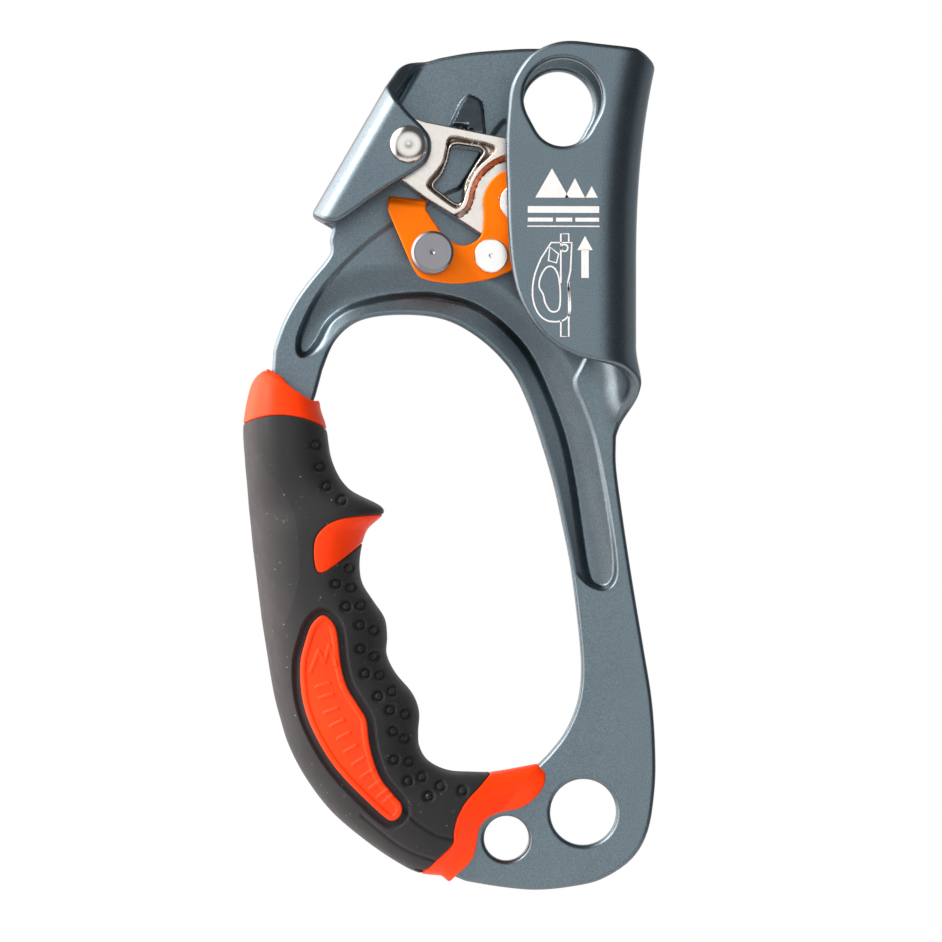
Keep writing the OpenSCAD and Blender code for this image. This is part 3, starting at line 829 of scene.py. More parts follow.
row_width = np.hypot(rows[:, 2] - rows[:, 0], rows[:, 3] - rows[:, 1])
row_way = (rows[:, 2:4] - rows[:, 0:2]) / row_width[:, None]
strip_outer = rows[:, 0:2] + row_way * rows[:, 5:6]
strip_inner = rows[:, 0:2] + row_way * rows[:, 6:7]

# ---- Frame ----

finger_loop = join(strip_inner[::12][::-1], spline(LOOP_EDGE, 6))
pattern = plan(
    join([fold_flat(5.9, 24.4)], spline(PLATE_LEFT, 4), strip_outer[::12], spline(PLATE_BOTTOM, 5),
         spline(CHANNEL_LIP, 4), flap_flat(*spline(FLAP_BOTTOM, 5).T), flap_flat(*spline(FLAP_TOP, 5).T),
         [bend_flat(*p) for p in BEND_TOP], spline(PLATE_TOP, 4),
         [fold_flat(*p) for p in spline(FOLD_EDGE, 4)], [fold_flat(*p) for p in FOLD_END]),
    finger_loop, step=0.35)
island = smooth_plan(ISLAND, 6, soft=2)
loop = plan(finger_loop, pad=12)
loop.values *= -1
bump_shape = smooth_plan(STOP_BUMP, 6, step=0.3)
EYE_X = -5.85
eye = plan(join(arc((EYE_X, 164.2), 8.95, -28.4, 208.4, 48), arc((EYE_X, 160.2), 7.05, 208.4, 331.6)),
           step=0.3)

EDGE = 1.1  # how far the sheet's edges are rounded
ISLAND_DEPTH = 2.7  # how deep the island is pressed beside the finger loop
ISLAND_SHALLOW = 0.55  # and how deep it is well away from the loop
SHOULDER = 1.5  # width of its narrow shoulder
BUMP_TOP = 167.2
BUMP_X = -26
BUMP_CUT = 157.6  # the bump's lower end, at BUMP_X, over the cam's edge
BUMP_SLANT = 0.197  # how much that end falls along X
BUMP_HEIGHT = 6.2
BUMP_LIFT = 0.7  # the share of that height by which the sheet's middle moves to the front
BUMP_SWELL = 0.3  # and the share by which each face moves away from the middle
EYE_LESS = 0.8  # how much smaller the eye is all round in the plate than in the flap
HOLES = [(flat(m["pos_m"]), m["dims"]["r_mm"]) for m in record["mounts"] if m["kind"] == "bore"]


def pressed(u, v):
    """How far the island is pressed to the rear. On the finger loop's side its shoulder is broad, from the
    island's edge to the loop: one half of the depth falls at once and the other half evenly."""
    away = island(u, v)
    rim = -loop(u, v)
    width = away + rim
    inside = ease((v - 51.5) / 5) * ease((u + 65) / 7)  # 0 at the island's two narrow ends
    broad = SHOULDER + (0.9 * width - SHOULDER) * ease((9.5 - width) / 3) * inside
    fall = np.clip(1 - away / broad, 0, 1)
    curved = 3 * fall * fall - 2 * fall**3
    stepped = 0.5 * (1 - ease(away / 2)) + 0.5 * fall
    share = ease((8.5 - width) / 2) * inside
    depth = ISLAND_DEPTH - (ISLAND_DEPTH - ISLAND_SHALLOW) * ease((rim - 4) / 9)
    return depth * (curved * (1 - share) + stepped * share)


def stop_bump(x, y, z):
    """How far the stop bump stands out to the front. It is cut off along the cam's slanting upper edge."""
    rise = 0.1 + 0.9 * np.clip((BUMP_TOP - z) / (BUMP_TOP - BUMP_CUT), 0, 1)
    bump = BUMP_HEIGHT * rise * ease(-bump_shape(x, z) / 0.8)
    return bump * (z > BUMP_CUT - BUMP_SLANT * (x - BUMP_X)) * (y > -BEND_R)


def frame_field(x, y, z):
    """The folded sheet with its holes, and with the island and the stop bump pressed into it."""
    u, v, w = unfold(x, y, z)
    outline = pattern(u, v)
    for centre, radius in HOLES:
        outline = np.maximum(outline, radius - point_distance(centre, x, z))
    outline = np.maximum(outline, -eye(x, z) - EYE_LESS * (y > -BEND_R))
    bump = stop_bump(x, y, z)
    height = np.abs(w - pressed(u, v) + BUMP_LIFT * bump)
    return meet(outline, height - HALF - BUMP_SWELL * bump, EDGE)


frame_plate = sculpt_node("frame_plate", "frame", frame_field, 0.4, 190000)
dress(frame_plate, anodised_sheet(), "frame", "frame_metal", "frame")

# ---- Grip ----


def grip_plans():
    """Maps over the sheet's plane: how far across the grip a place is, the grip's width and its half depth
    there, and from where to where across it the plate reaches."""
    corner = np.array([rows[:, [0, 2]].min() - 3, rows[:, [1, 3]].min() - 3])
    far = np.array([rows[:, [0, 2]].max() + 3, rows[:, [1, 3]].max() + 3])
    across = Grid(corner, far, 0.35)
    count = np.zeros(across.u.shape, int)
    before = np.full(across.u.shape, np.nan)
    after = np.full(across.u.shape, np.nan)
    last = None
    for k, (row, way) in enumerate(zip(rows, row_way)):
        side = (across.u - row[0]) * way[1] - (across.v - row[1]) * way[0]
        if last is not None:
            between = (last >= 0) & (side < 0)
            count[between] = k
            before[between] = last[between]
            after[between] = side[between]
        last = side
    below = last >= 0
    count[below] = len(rows) - 1
    whole = np.isnan(before)
    share = np.where(whole, 1.0, np.where(whole, 1, before) / np.where(whole, 1, before - after))
    low_row = rows[np.maximum(count - 1, 0)]
    high_row = rows[count]
    row = low_row * (1 - share[..., None]) + high_row * share[..., None]
    width = np.hypot(row[..., 2] - row[..., 0], row[..., 3] - row[..., 1])
    along = ((across.u - row[..., 0]) * (row[..., 2] - row[..., 0])
             + (across.v - row[..., 1]) * (row[..., 3] - row[..., 1])) / width
    made = []
    for values in (along, width, row[..., 4], row[..., 5], row[..., 6]):
        grid = Grid(corner, far, 0.35)
        grid.values = values
        made.append(grid.soften(1))
    return made


grip_across, grip_width, grip_depth, grip_from, grip_to = grip_plans()
SQUARE = 2.4  # squareness of the grip's section
CORE = 2.7  # the core's thickness over the sheet
CORE_LIP = 1.2  # how far the core wraps past the sheet's edges
SEAM = 0.35  # rounding along the seams between rubber and plastic
SLEEVE_TOP = 93  # over this Z there is no rubber
SLEEVE_END = -2.2  # where the rubber, the core's inside and the collar end,
SLAB_END = -6  # measured past the grip's last station
COLLAR_END = 5
PALM_SLOPE = 0.13
TOP_COLLAR = [[-82, 88.6], [-79.5, 90], [-75, 91.6], [-70, 92.2], [-65, 91.5], [-61, 90], [-57, 88],
              [-54, 99], [-61.6, 95.6], [-65.6, 97.2], [-68.6, 99.5], [-71.2, 102.4], [-73.4, 103.6],
              [-82, 108]]
BOTTOM_COLLAR = [[-20.9, 9.8], [-17.3, 10.6], [-12.6, 12.2], [-10.2, 12.8], [-9.0, 11.4], [-9.0, 7.4],
                 [-10.8, 4.2], [-14.8, 1.6], [-19.2, 0.7], [-22.5, -0.7], [-24.4, -3.1], [-25.1, -7.1],
                 [-26.2, -10.6], [-29.6, -14.2], [-33, -17.4], [-40.5, -17], [-36.5, -12.6], [-33.6, -9.6],
                 [-30.6, -6.4], [-30.4, -3.6], [-29.6, -0.2], [-27.6, 3.4], [-24.6, 6.4]]
HORN_WEDGE = [[-44.9, 69.2], [-46.9, 66.4], [-50.5, 63.4], [-55, 59.9], [-59.6, 56.6], [-61.4, 56.4],
              [-62.2, 58.2], [-62.4, 62.2], [-61.4, 65.2], [-58.2, 67.8], [-53, 69]]
BADGE = [[-60.6, 46.6], [-62.9, 44.6], [-64.4, 40.7], [-65.6, 35.3], [-65.2, 27.8], [-63.3, 21.4],
         [-59.6, 14.5], [-55.7, 9.4], [-50.5, 4.1], [-46.8, 0.6], [-44.6, -0.7], [-42.6, 0.6], [-42.3, 3.1],
         [-44, 5.3], [-46.9, 9], [-48.7, 13.3], [-49.8, 18.1], [-50.4, 22.8], [-52.3, 26.1], [-54.8, 30.3],
         [-56.2, 35.3], [-57.1, 42.8], [-58.6, 45.6]]
PALM = [[-76.8, 84.5], [-73.2, 79.6], [-69.2, 74.6], [-66.6, 68], [-65.6, 60], [-66.4, 52], [-70.3, 43.2],
        [-80, 36], [-92, 60], [-86, 78]]
GRIP_GROOVES = [
    [[-42.4, 2.6], [-40.2, 0.2], [-37.4, -2.2], [-34.0, -4.2], [-30.6, -5.2]],
    [[-51.5, 0.6], [-48.0, -2.4], [-43.4, -6.2], [-39.0, -8.6], [-34.9, -10.2]],
]
RING_DIMPLES = [
    [-62.3, 85.4], [-61.3, 80.4], [-59.6, 75.9], [-56.1, 72.7],
    [-54.6, 57.2], [-57.4, 53.7], [-54.2, 52.7], [-55.1, 48.5], [-51.9, 48.6], [-52, 44.3], [-48.9, 43],
    [-51.8, 38.9], [-48.9, 37], [-50.8, 33.2], [-47.5, 32.6], [-44.7, 28.9], [-47.8, 28], [-45.1, 24.8],
    [-41.7, 23.8], [-44.4, 20], [-41.9, 18.2], [-44.2, 13.5], [-40.8, 12.8], [-37.8, 9.2], [-41, 8.6],
    [-33.5, 7], [-36.3, 5], [-28.4, 5.9],
]
DIMPLE_R = 1.0
DIMPLE_WIDTH = 0.36  # half width of a dimple's groove
DIMPLE_DEPTH = 0.95
GROOVE_WIDTH = 0.42
GROOVE_DEPTH = 0.45
RECESS = 1.5  # depth of the rubber's recess for the badge
RIB_HALF = 1.5  # half length of a rib on the badge
SIGN_R = 0.55  # half width of a raised line on the badge
SIGN_HEIGHT = 0.22

top_collar = smooth_plan(TOP_COLLAR, 4, step=0.3, pad=8)
bottom_collar = smooth_plan(BOTTOM_COLLAR, 4, step=0.3, pad=8)
horn_wedge = smooth_plan(HORN_WEDGE, 5, step=0.25, pad=8)
badge_plan = smooth_plan(BADGE, 5, step=0.25, pad=8)
palm = smooth_plan(PALM, 5)
groove_lines = [track(spline(g, 6)) for g in GRIP_GROOVES]


def dimples():
    """Ring dimples, each a round groove with a raised middle."""
    spots = np.array(RING_DIMPLES)
    grid = Grid(spots.min(0) - 3, spots.max(0) + 3, 0.12)
    for spot in spots:
        grid.values += DIMPLE_DEPTH * bell(point_distance(spot, grid.u, grid.v) - DIMPLE_R, DIMPLE_WIDTH)
    return grid


dimple_depth = dimples()


def grip_section(x, y, z, cut):
    """The grip's outer shape, with its face cut back by so much along Y."""
    width = grip_width(x, z)
    depth = grip_depth(x, z)
    q = np.abs(2 * grip_across(x, z) / width - 1)
    deep = np.abs(y) + cut
    size = ((deep / depth) ** SQUARE + q ** SQUARE) ** (1 / SQUARE) - 1
    return size * np.minimum(depth, width / 2)


def inner_slab(x, y, z, lip, thick):
    """The room round the plate's strip, so far past its edges and so thick."""
    u = grip_across(x, z)
    side = np.maximum(grip_from(x, z) - lip - u, u - grip_to(x, z) - lip)
    return meet(side, np.abs(y) - thick, 0.4)


def plastic_area(x, z):
    """Signed distance to where the hard core comes to the grip's surface."""
    return np.minimum(np.minimum(top_collar(x, z), bottom_collar(x, z)), horn_wedge(x, z))


def row_end(x, z, extra):
    """Distance past the grip's first station, or past its last one and so much extra."""
    first, last = rows[0], rows[-1]
    above = -((x - first[0]) * row_way[0, 1] - (z - first[1]) * row_way[0, 0])
    below = (x - last[0]) * row_way[-1, 1] - (z - last[1]) * row_way[-1, 0]
    return np.maximum(above, below - extra)


def facet(x, z):
    """The flatter palm side: how far the surface is cut back along Y."""
    return PALM_SLOPE * np.maximum(-palm(x, z), 0)


def sleeve_field(x, y, z):
    """The rubber: the grip's shape with a recess for the badge, dimples and grooves, less the hard core."""
    badge = badge_plan(x, z)
    cut = RECESS * ease((2.0 - badge) / 1.1) + dimple_depth(x, z) + facet(x, z)
    for groove in groove_lines:
        cut = cut + GROOVE_DEPTH * bell(groove(x, z), GROOVE_WIDTH)
    outer = grip_section(x, y, z, cut)
    shape = meet(outer, -plastic_area(x, z) + 0.02, SEAM)
    shape = np.maximum(shape, -inner_slab(x, y, z, CORE_LIP + 0.05, HALF + CORE + 0.05))
    shape = np.maximum(shape, np.maximum(row_end(x, z, SLEEVE_END), z - SLEEVE_TOP))
    return meet(shape, y + 0.01, 0.2)


def core_field(x, y, z):
    """The hard core: the collars and the wedge at the grip's full depth, and a slab round the plate."""
    outer = meet(grip_section(x, y, z, facet(x, z)), plastic_area(x, z) + 0.02, SEAM)
    outer = meet(outer, row_end(x, z, COLLAR_END), 1.4)
    slab = np.maximum(inner_slab(x, y, z, CORE_LIP, HALF + CORE), row_end(x, z, SLAB_END))
    slab = np.maximum(slab, np.minimum(top_collar(x, z), z - SLEEVE_TOP))
    shape = np.minimum(outer, slab)
    shape = np.maximum(shape, -inner_slab(x, y, z, 0.05, HALF + 0.02))
    return meet(shape, y + 0.01, 0.25)


def raised_signs():
    """Peaks near the badge's top and a row of short ribs down its length."""
    lines = [np.array([[-63.2, 33.6], [-61.2, 38.4], [-60.0, 35.8], [-58.8, 39.6], [-57.4, 35.2]])]
    way = spline([[-60.3, 30.6], [-58.4, 24.8], [-55.6, 19], [-52.2, 13.2], [-48.4, 7.8], [-45.6, 4.4]], 2)
    for place, along in zip(way, np.gradient(way, axis=0)):
        side = np.array([-along[1], along[0]]) / np.linalg.norm(along)
        lines.append(np.array([place - RIB_HALF * side, place + RIB_HALF * side]))
    grid = Grid(badge_plan.low, badge_plan.low + badge_plan.step * np.array(badge_plan.values.shape), 0.15)
    for line in lines:
        away = np.sqrt(line_distance(grid, line, False)[0])
        grid.values = np.maximum(grid.values, ease((SIGN_R - away) / 0.3))
    return grid


badge_signs = raised_signs()


def badge_field(x, y, z):
    """The badge: a border round a lower face with raised signs. Its back lies in the rubber's recess."""
    badge = badge_plan(x, z)
    cut = 0.1 + 0.45 * ease((-badge - 1.0) / 0.7) - SIGN_HEIGHT * badge_signs(x, z)
    outer = grip_section(x, y, z, cut)
    floor = -grip_section(x, y, z, RECESS - 0.05)
    return np.maximum(meet(outer, badge + 0.1, 0.45), floor)


plastic = core_plastic()
rubber = grip_rubber()
badge_plastic = core_plastic("badge_plastic", (0.97, 0.046, 0.004))
low, high = box("grip_core_front")
low[:2] = box("grip_sleeve_front")[0][:2] - 1
high[0] += 2
for half, field, step, most, material, slot in (
        ("grip_sleeve", sleeve_field, 0.25, 196000, rubber, "grip_rubber"),
        ("grip_core", core_field, 0.27, 90000, plastic, "core_plastic"),
        ("badge", badge_field, 0.2, 60000, badge_plastic, "core_plastic")):
    front = sculpt(half + "_front_shell", field, low - 1, high + 1, step, most)
    rear = mirrored(front, half + "_rear_shell")
    dress(front, material, "frame", slot, half + "_front")
    dress(rear, material, "frame", slot, half + "_rear")

# ---- Prints on the flap ----
# Plain signs only: peaks over bars, an ascender on a rope, and an arrow that points up.

INK = 0.05  # height of the print over the metal


def ribbons(name, lines):
    """Thin printed ribbons on the flap. A line is its points, its widths and whether it is closed."""
    points = []
    faces = []
    for places, widths, closed in lines:
        p = np.array(places, float)
        step = np.roll(p, -1, 0) - np.roll(p, 1, 0) if closed else np.gradient(p, axis=0)
        step /= np.linalg.norm(step, axis=1)[:, None]
        side = np.stack([-step[:, 1], step[:, 0]], 1) * np.broadcast_to(widths, len(p))[:, None] / 2
        base = len(points)
        for q, out in zip(p, side):
            for height, way in ((INK, 1), (INK, -1), (-INK, -1), (-INK, 1)):
                place = q + out * way
                points.append(folded(place[0], place[1], height))
        count = len(p)
        for i in range(count if closed else count - 1):
            here, there = base + 4 * i, base + 4 * ((i + 1) % count)
            for k in range(4):
                n = (k + 1) % 4
                faces.append((here + k, there + k, there + n, here + n))
        if not closed:
            last = base + 4 * (count - 1)
            faces += [(base + 3, base + 2, base + 1, base), (last, last + 1, last + 2, last + 3)]
    made = new_mesh(name, points, faces)
    made.data.shade_flat()
    return made


def bar(x0, x1, z, height):
    """A bar in short steps, so that it follows the flap."""
    return [[x, z] for x in np.linspace(x0, x1, 13)], height, False


def peak(x, z, height, width):
    """A filled triangle with its tip up."""
    return [[x, z + height], [x, z + height / 2], [x, z]], [0.02, width / 2, width], False


LINE = 0.36
ROPE_X = -5.5
ROPE_R = 0.9


def rope_end(left_z, end_z, right_z):
    """The outline of one end of the rope, from its left side round its end to its right side."""
    left, right = ROPE_X - ROPE_R, ROPE_X + ROPE_R
    return [[left, left_z], [left, end_z], [right, end_z], [right, right_z]], LINE, False


signs = [
    peak(-8.4, 141.4, 6.6, 7.6), peak(-3.2, 141.4, 4.4, 4.6), peak(0.6, 141.4, 2.6, 2.8),
    bar(-13.9, 2.3, 138.7, 1.5), bar(-13.9, -8.2, 136.4, 0.9), bar(-7.5, -3.8, 136.4, 0.9),
    bar(-3.1, 2.3, 136.4, 0.9), bar(-14.0, 2.4, 134.9, 0.28),
    peak(-0.9, 129.5, 3.2, 3.5), ([[-0.9, 129.6], [-0.9, 126], [-0.9, 123.2]], 1.7, False),
    rope_end(122, 133.2, 131.4), rope_end(113.6, 109.9, 122.3),
    ([[-10.9, 127.6], [-8.6, 131.2], [-3.9, 131.2], [-4.2, 124.9], [-4.8, 122.2]], LINE, False),
    (spline([[-10.9, 127.6], [-12.2, 124.3], [-12.8, 121], [-12.6, 117.8], [-11.4, 115], [-9.2, 113.4],
             [-6, 113.5], [-4.4, 115.2], [-4.3, 118], [-4.8, 122.2]], 4), LINE, False),
    (spline([[-11, 123.4], [-9.7, 125.5], [-8.1, 125.6], [-6.9, 123.4], [-6.5, 119], [-6.9, 116],
             [-8.6, 115.6], [-9.9, 117.4], [-10.4, 119.4], [-11.3, 121.2]], 4, closed=True), LINE, True),
    ([[-8.9, 130.2], [-6.9, 128.6], [-7.4, 126.6], [-9.2, 127.1]], LINE, True),
    (arc((-5.6, 130), 0.8, 0, 330, 11), LINE, True),
]
print_shapes = ribbons("flap_print", signs)
dress(print_shapes, print_ink(), "frame", "frame_metal")

# ---- Cam ----

CAM_REACH = 44.0  # from the axle to the top of the toothed face
CAM_REACH_MORE = 4.0  # how much more it is at the bottom
TOOTH_TOP, TOOTH_BOTTOM = -2.5, -27.0  # directions of the toothed face's ends from the axle
TOOTH_ROWS = 9
TOOTH_HEIGHT = 1.1
TOOTH_STEP = 2.1  # from one tooth to the next in a row
TOOTH_R = 1.0
HUB_R = 7.3
CAM_OUTLINE = join(arc(CAM_AXIS, HUB_R, -110, -265, 20), [[-37, 159.4], [-18.2, 155.7]],
                   arc(CAM_AXIS, 52, TOOTH_TOP, TOOTH_BOTTOM, 10),
                   [[-18, 132.2], [-23.4, 133.5], [-30.1, 137.8], [-37, 142.1]])
CAM_WINDOW = join(spline([[-31.1, 153.2], [-30.6, 154], [-29.6, 154.2]], 4), [[-24.6, 153.5]],
                  spline([[-23.7, 152.6], [-26.2, 148.9], [-28, 145.5], [-28.5, 142]], 5),
                  spline([[-28.9, 141.2], [-29.6, 140.9], [-30.6, 141.3]], 3),
                  spline([[-34.6, 144.4], [-34.8, 145.2], [-33, 147.3], [-31.5, 151]], 5))
WINDOW_STEP = [[-31.3, 156.1], [-26.6, 155.4], [-22.3, 154.5], [-20.8, 153.3], [-22, 151.6],
               [-24.8, 148.9], [-26.9, 145.2], [-28, 141], [-29.5, 139.7], [-31.1, 140.1],
               [-36.3, 144.1], [-36.4, 145.8], [-35.2, 147.3], [-33.1, 150.1], [-32.4, 152.8]]
STEP_DEPTH = 1.4  # depth of the step round the window
LIP_HEIGHT = 0.8  # height of the lip along the window's edge
FLANGE_R = 10.9  # the middle of the step down to the cam's low flange
FLANGE_AREA = join(arc(LEVER_AXIS, FLANGE_R, 60, 172, 30),
                   spline([[-26.3, 142.2], [-27.3, 139.6], [-29.4, 138.1], [-32, 137.4]], 4),
                   [[-32, 126], [-2, 126], [-2, 150]])

cam_plan = plan(CAM_OUTLINE, step=0.2, soft=2)
window_plan = plan(CAM_WINDOW, step=0.15, pad=6, soft=8)
step_plan = smooth_plan(WINDOW_STEP, 5, step=0.15, pad=6, soft=8)
flange_plan = plan(FLANGE_AREA, step=0.2, soft=3)


def toothed_face(x, y, z):
    """Distance past the toothed face: a spiral about the axle with rows of spikes."""
    dx, dz = x - CAM_AXIS[0], z - CAM_AXIS[1]
    away = np.hypot(dx, dz)
    turn = (np.degrees(np.arctan2(dz, dx)) - TOOTH_TOP) / (TOOTH_BOTTOM - TOOTH_TOP)
    reach = CAM_REACH + CAM_REACH_MORE * turn
    row = np.clip(np.round(turn * TOOTH_ROWS - 0.5), 0, TOOTH_ROWS - 1)
    along = (turn - (row + 0.5) / TOOTH_ROWS) * math.radians(TOOTH_TOP - TOOTH_BOTTOM) * reach
    shift = np.where(row % 2 == 0, 0, TOOTH_STEP / 2)
    across = np.abs((y - CAM_BACK + shift) % TOOTH_STEP - TOOTH_STEP / 2)
    spike = TOOTH_HEIGHT * np.clip(1 - np.hypot(along, across) / TOOTH_R, 0, 1)
    return away - reach + TOOTH_HEIGHT - spike


def cam_face(x, z):
    """The front of the cam: a step round the window with a lip, and a low flange under the lever."""
    step = STEP_DEPTH * ease(0.2 - step_plan(x, z) / 0.75)
    step = step - LIP_HEIGHT * bell(window_plan(x, z) - 0.45, 0.38)
    flange = ease(0.5 - flange_plan(x, z) / 1.3)
    return CAM_FRONT + np.maximum(np.maximum(step, 0), (FLANGE - CAM_FRONT) * flange)


def cam_field(x, y, z):
    """The cam, with its two bores, a pocket behind each, and the slot that the lever's spring sits in."""
    outline = np.maximum(cam_plan(x, z), toothed_face(x, y, z))
    shape = meet(outline, np.maximum(cam_face(x, z) - y, y - CAM_BACK), 0.3)
    shape = meet(shape, -window_plan(x, z), 0.25)
    for place, bore, pocket_r, pocket_depth in ((CAM_AXIS, 3.55, 6.3, 4.2), (LEVER_AXIS, 2.52, 4.3, 1.4)):
        away = point_distance(place, x, z)
        shape = np.maximum(shape, bore - away)
        shape = np.maximum(shape, -np.maximum(away - pocket_r, CAM_BACK - pocket_depth - y))
    slot = np.maximum(np.maximum(-4 - x, np.abs(y + 5.4) - 1.2), np.abs(z - 141.5) - 4.5)
    return np.maximum(shape, -slot)


cam_body = sculpt_node("cam_body", "cam", cam_field, 0.18, 190000)
dress(cam_body, satin_steel(), "cam", "cam_steel", "cam")

# ---- Lever ----

LEVER_T = LEVER_BACK - LEVER_FACE
TAB_LINE = np.array([[-45.4, 140.1], [-36.9, 139.2]])  # where the lever's tab is bent to the rear
TAB_R = 1.5  # mid-sheet radius of that bend
TAB_SIDE = -30.0  # the tab lies left of this X
TAB_DEPTH = 5.0  # how far the tab reaches to the rear
LEVER_OUTLINE = join(
    [[-45, 147.2], [-36.9, 146.2], [-36.8, 139.2]],
    spline([[-33.4, 134.2], [-30.2, 131.6], [-27.5, 131.2], [-25, 132.4], [-23.8, 134.5],
            [-23.5, 138.2]], 5),
    arc(LEVER_AXIS, 8.1, 180, -35, 30),
    spline([[-9.4, 135], [-10.6, 130.5], [-13, 127.6], [-17.3, 125.4], [-21, 123.8], [-25, 122.9],
            [-29.9, 122.4], [-34.9, 122.9], [-38.2, 123.9], [-40.1, 126.6]], 5),
    spline([[-40.1, 126.6], [-44.7, 137.3], [-45.5, 139.4]], 4))
lever_plan = plan(LEVER_OUTLINE, step=0.25)


def lever_field(x, y, z):
    """The lever plate with its tab bent to the rear, and its three holes."""
    way = TAB_LINE[1] - TAB_LINE[0]
    way = way / np.linalg.norm(way)
    out = np.array([-way[1], way[0]])
    t = (x - TAB_LINE[0, 0]) * out[0] + (z - TAB_LINE[0, 1]) * out[1]
    centre = LEVER_BACK - LEVER_T / 2 + TAB_R  # Y of the bend's axis
    turn = np.arctan2(t, centre - y)
    bent = (t > 0) & (x < TAB_SIDE)
    straight = bent & (y > centre)
    flat_t = np.where(straight, TAB_R * math.pi / 2 + y - centre, np.where(bent, TAB_R * turn, t))
    height = np.where(straight, t, np.where(bent, np.hypot(t, centre - y), centre - y)) - TAB_R
    shift = flat_t - t
    outline = lever_plan(x + shift * out[0], z + shift * out[1])
    outline = np.maximum(outline, np.where(bent, y - LEVER_BACK - TAB_DEPTH, -9))
    shape = meet(outline, np.abs(height) - LEVER_T / 2, 0.35)
    for place, radius in ((LEVER_AXIS, 2.55), (KNOB, 2.05), (CATCH, 2.25)):
        shape = np.maximum(shape, radius - point_distance(place, x, z))
    return shape


lever_arm = sculpt_node("lever_arm", "lever_plate", lever_field, 0.2, 110000)
dress(lever_arm, anodised_lever(), "lever", "lever_metal", "lever_plate")

# ---- Rivets, pins, knob, washers and springs ----

SHANK_R = 2.5  # the shanks that the cam and the lever turn on
BORE_R = 2.55  # the bores round those shanks

AXLE_FRONT, AXLE_BACK = depths("cam_axle")
axle_head = [(0, AXLE_FRONT + 0.3), (0.5, AXLE_FRONT + 0.22), (1.1, AXLE_FRONT + 0.02), (1.7, AXLE_FRONT)]
axle_head += [(1.7 + 2.6 * math.sin(a), AXLE_FRONT + 1.5 * (1 - math.cos(a)))
              for a in np.linspace(0.1, 1.45, 14)]
axle = turned("cam_axle_rivet", CAM_AXIS, axle_head + rounded(
    [(4.3, AXLE_FRONT + 1.5), (4.3, FOLD_FACE), (SHANK_R, FOLD_FACE), (SHANK_R, HALF), (3.9, HALF),
     (3.9, AXLE_BACK), (0.9, AXLE_BACK), (0.7, AXLE_BACK - 0.3), (0, AXLE_BACK - 0.35)], 0.3), 128)
dress(axle, polished_steel(), "frame", "rivet_steel", "cam_axle")

PIVOT_FRONT, PIVOT_BACK = depths("lever_pivot")
pivot = turned("lever_pivot_rivet", LEVER_AXIS, rounded(
    [(0, PIVOT_FRONT + 0.25), (0.4, PIVOT_FRONT + 0.22), (0.7, PIVOT_FRONT), (4.4, PIVOT_FRONT),
     (4.4, PIVOT_FRONT + 1.3), (SHANK_R, PIVOT_FRONT + 1.3), (SHANK_R, PIVOT_BACK - 1.2),
     (4, PIVOT_BACK - 1.2), (4, PIVOT_BACK), (0, PIVOT_BACK)], 0.35), 112)
pivot_steel = ring_marks("pivot_steel", LEVER_AXIS, (0.78, 0.77, 0.75), 0.24)
dress(pivot, pivot_steel, "cam", "rivet_steel", "lever_pivot")

CATCH_FRONT, CATCH_BACK = depths("catch_pin")
catch = turned("catch_pin_turned", CATCH, rounded(
    [(0, CATCH_FRONT + 0.2), (0.25, CATCH_FRONT + 0.18), (0.5, CATCH_FRONT), (3.85, CATCH_FRONT),
     (3.85, LEVER_FACE), (2.2, LEVER_FACE), (2.2, LEVER_BACK), (3, LEVER_BACK), (3, CATCH_BACK),
     (0, CATCH_BACK)], 0.3), 112)
dress(catch, ring_marks("catch_steel", CATCH, (0.86, 0.86, 0.85), 0.3), "lever", "rivet_steel", "catch_pin")

KNOB_FRONT, KNOB_BACK = depths("thumb_knob")


def knurl(angle, radius, y):
    """Fine straight grooves round the knob's skirt."""
    if radius < 4.5 or y > KNOB_BACK - 0.4 or y < KNOB_FRONT + 0.7:
        return 0 * angle
    return -0.22 * (0.5 - 0.5 * np.cos(angle * 40)) ** 1.5


knob_side = [(4.8, y) for y in np.linspace(KNOB_FRONT + 0.65, KNOB_BACK - 0.35, 12)]
knob = turned("thumb_knob_knurled", KNOB, rounded(
    [(0, KNOB_FRONT + 0.3), (0.3, KNOB_FRONT + 0.26), (0.55, KNOB_FRONT + 0.08), (3.9, KNOB_FRONT + 0.08),
     (4.25, KNOB_FRONT), (4.8, KNOB_FRONT + 0.6)], 0.12) + knob_side + rounded(
    [(4.8, KNOB_BACK - 0.3), (4.6, KNOB_BACK), (2.05, KNOB_BACK), (2.05, KNOB_BACK - 5.2),
     (0, KNOB_BACK - 5.2)], 0.1), 320, knurl)
dress(knob, ring_marks("knob_steel", KNOB, (0.26, 0.26, 0.28), 0.33), "lever", "knob_metal", "thumb_knob")

TAIL_FRONT, TAIL_BACK = depths("knob_rivet")
knob_rivet = turned("knob_rivet_turned", KNOB, rounded(
    [(0, TAIL_FRONT), (2, TAIL_FRONT), (2, LEVER_BACK), (3.2, LEVER_BACK), (3.2, TAIL_BACK),
     (0, TAIL_BACK)], 0.3), 80)
tail_steel = polished_steel("tail_steel", (0.6, 0.59, 0.57), 0.22)
dress(knob_rivet, tail_steel, "lever", "rivet_steel", "knob_rivet")

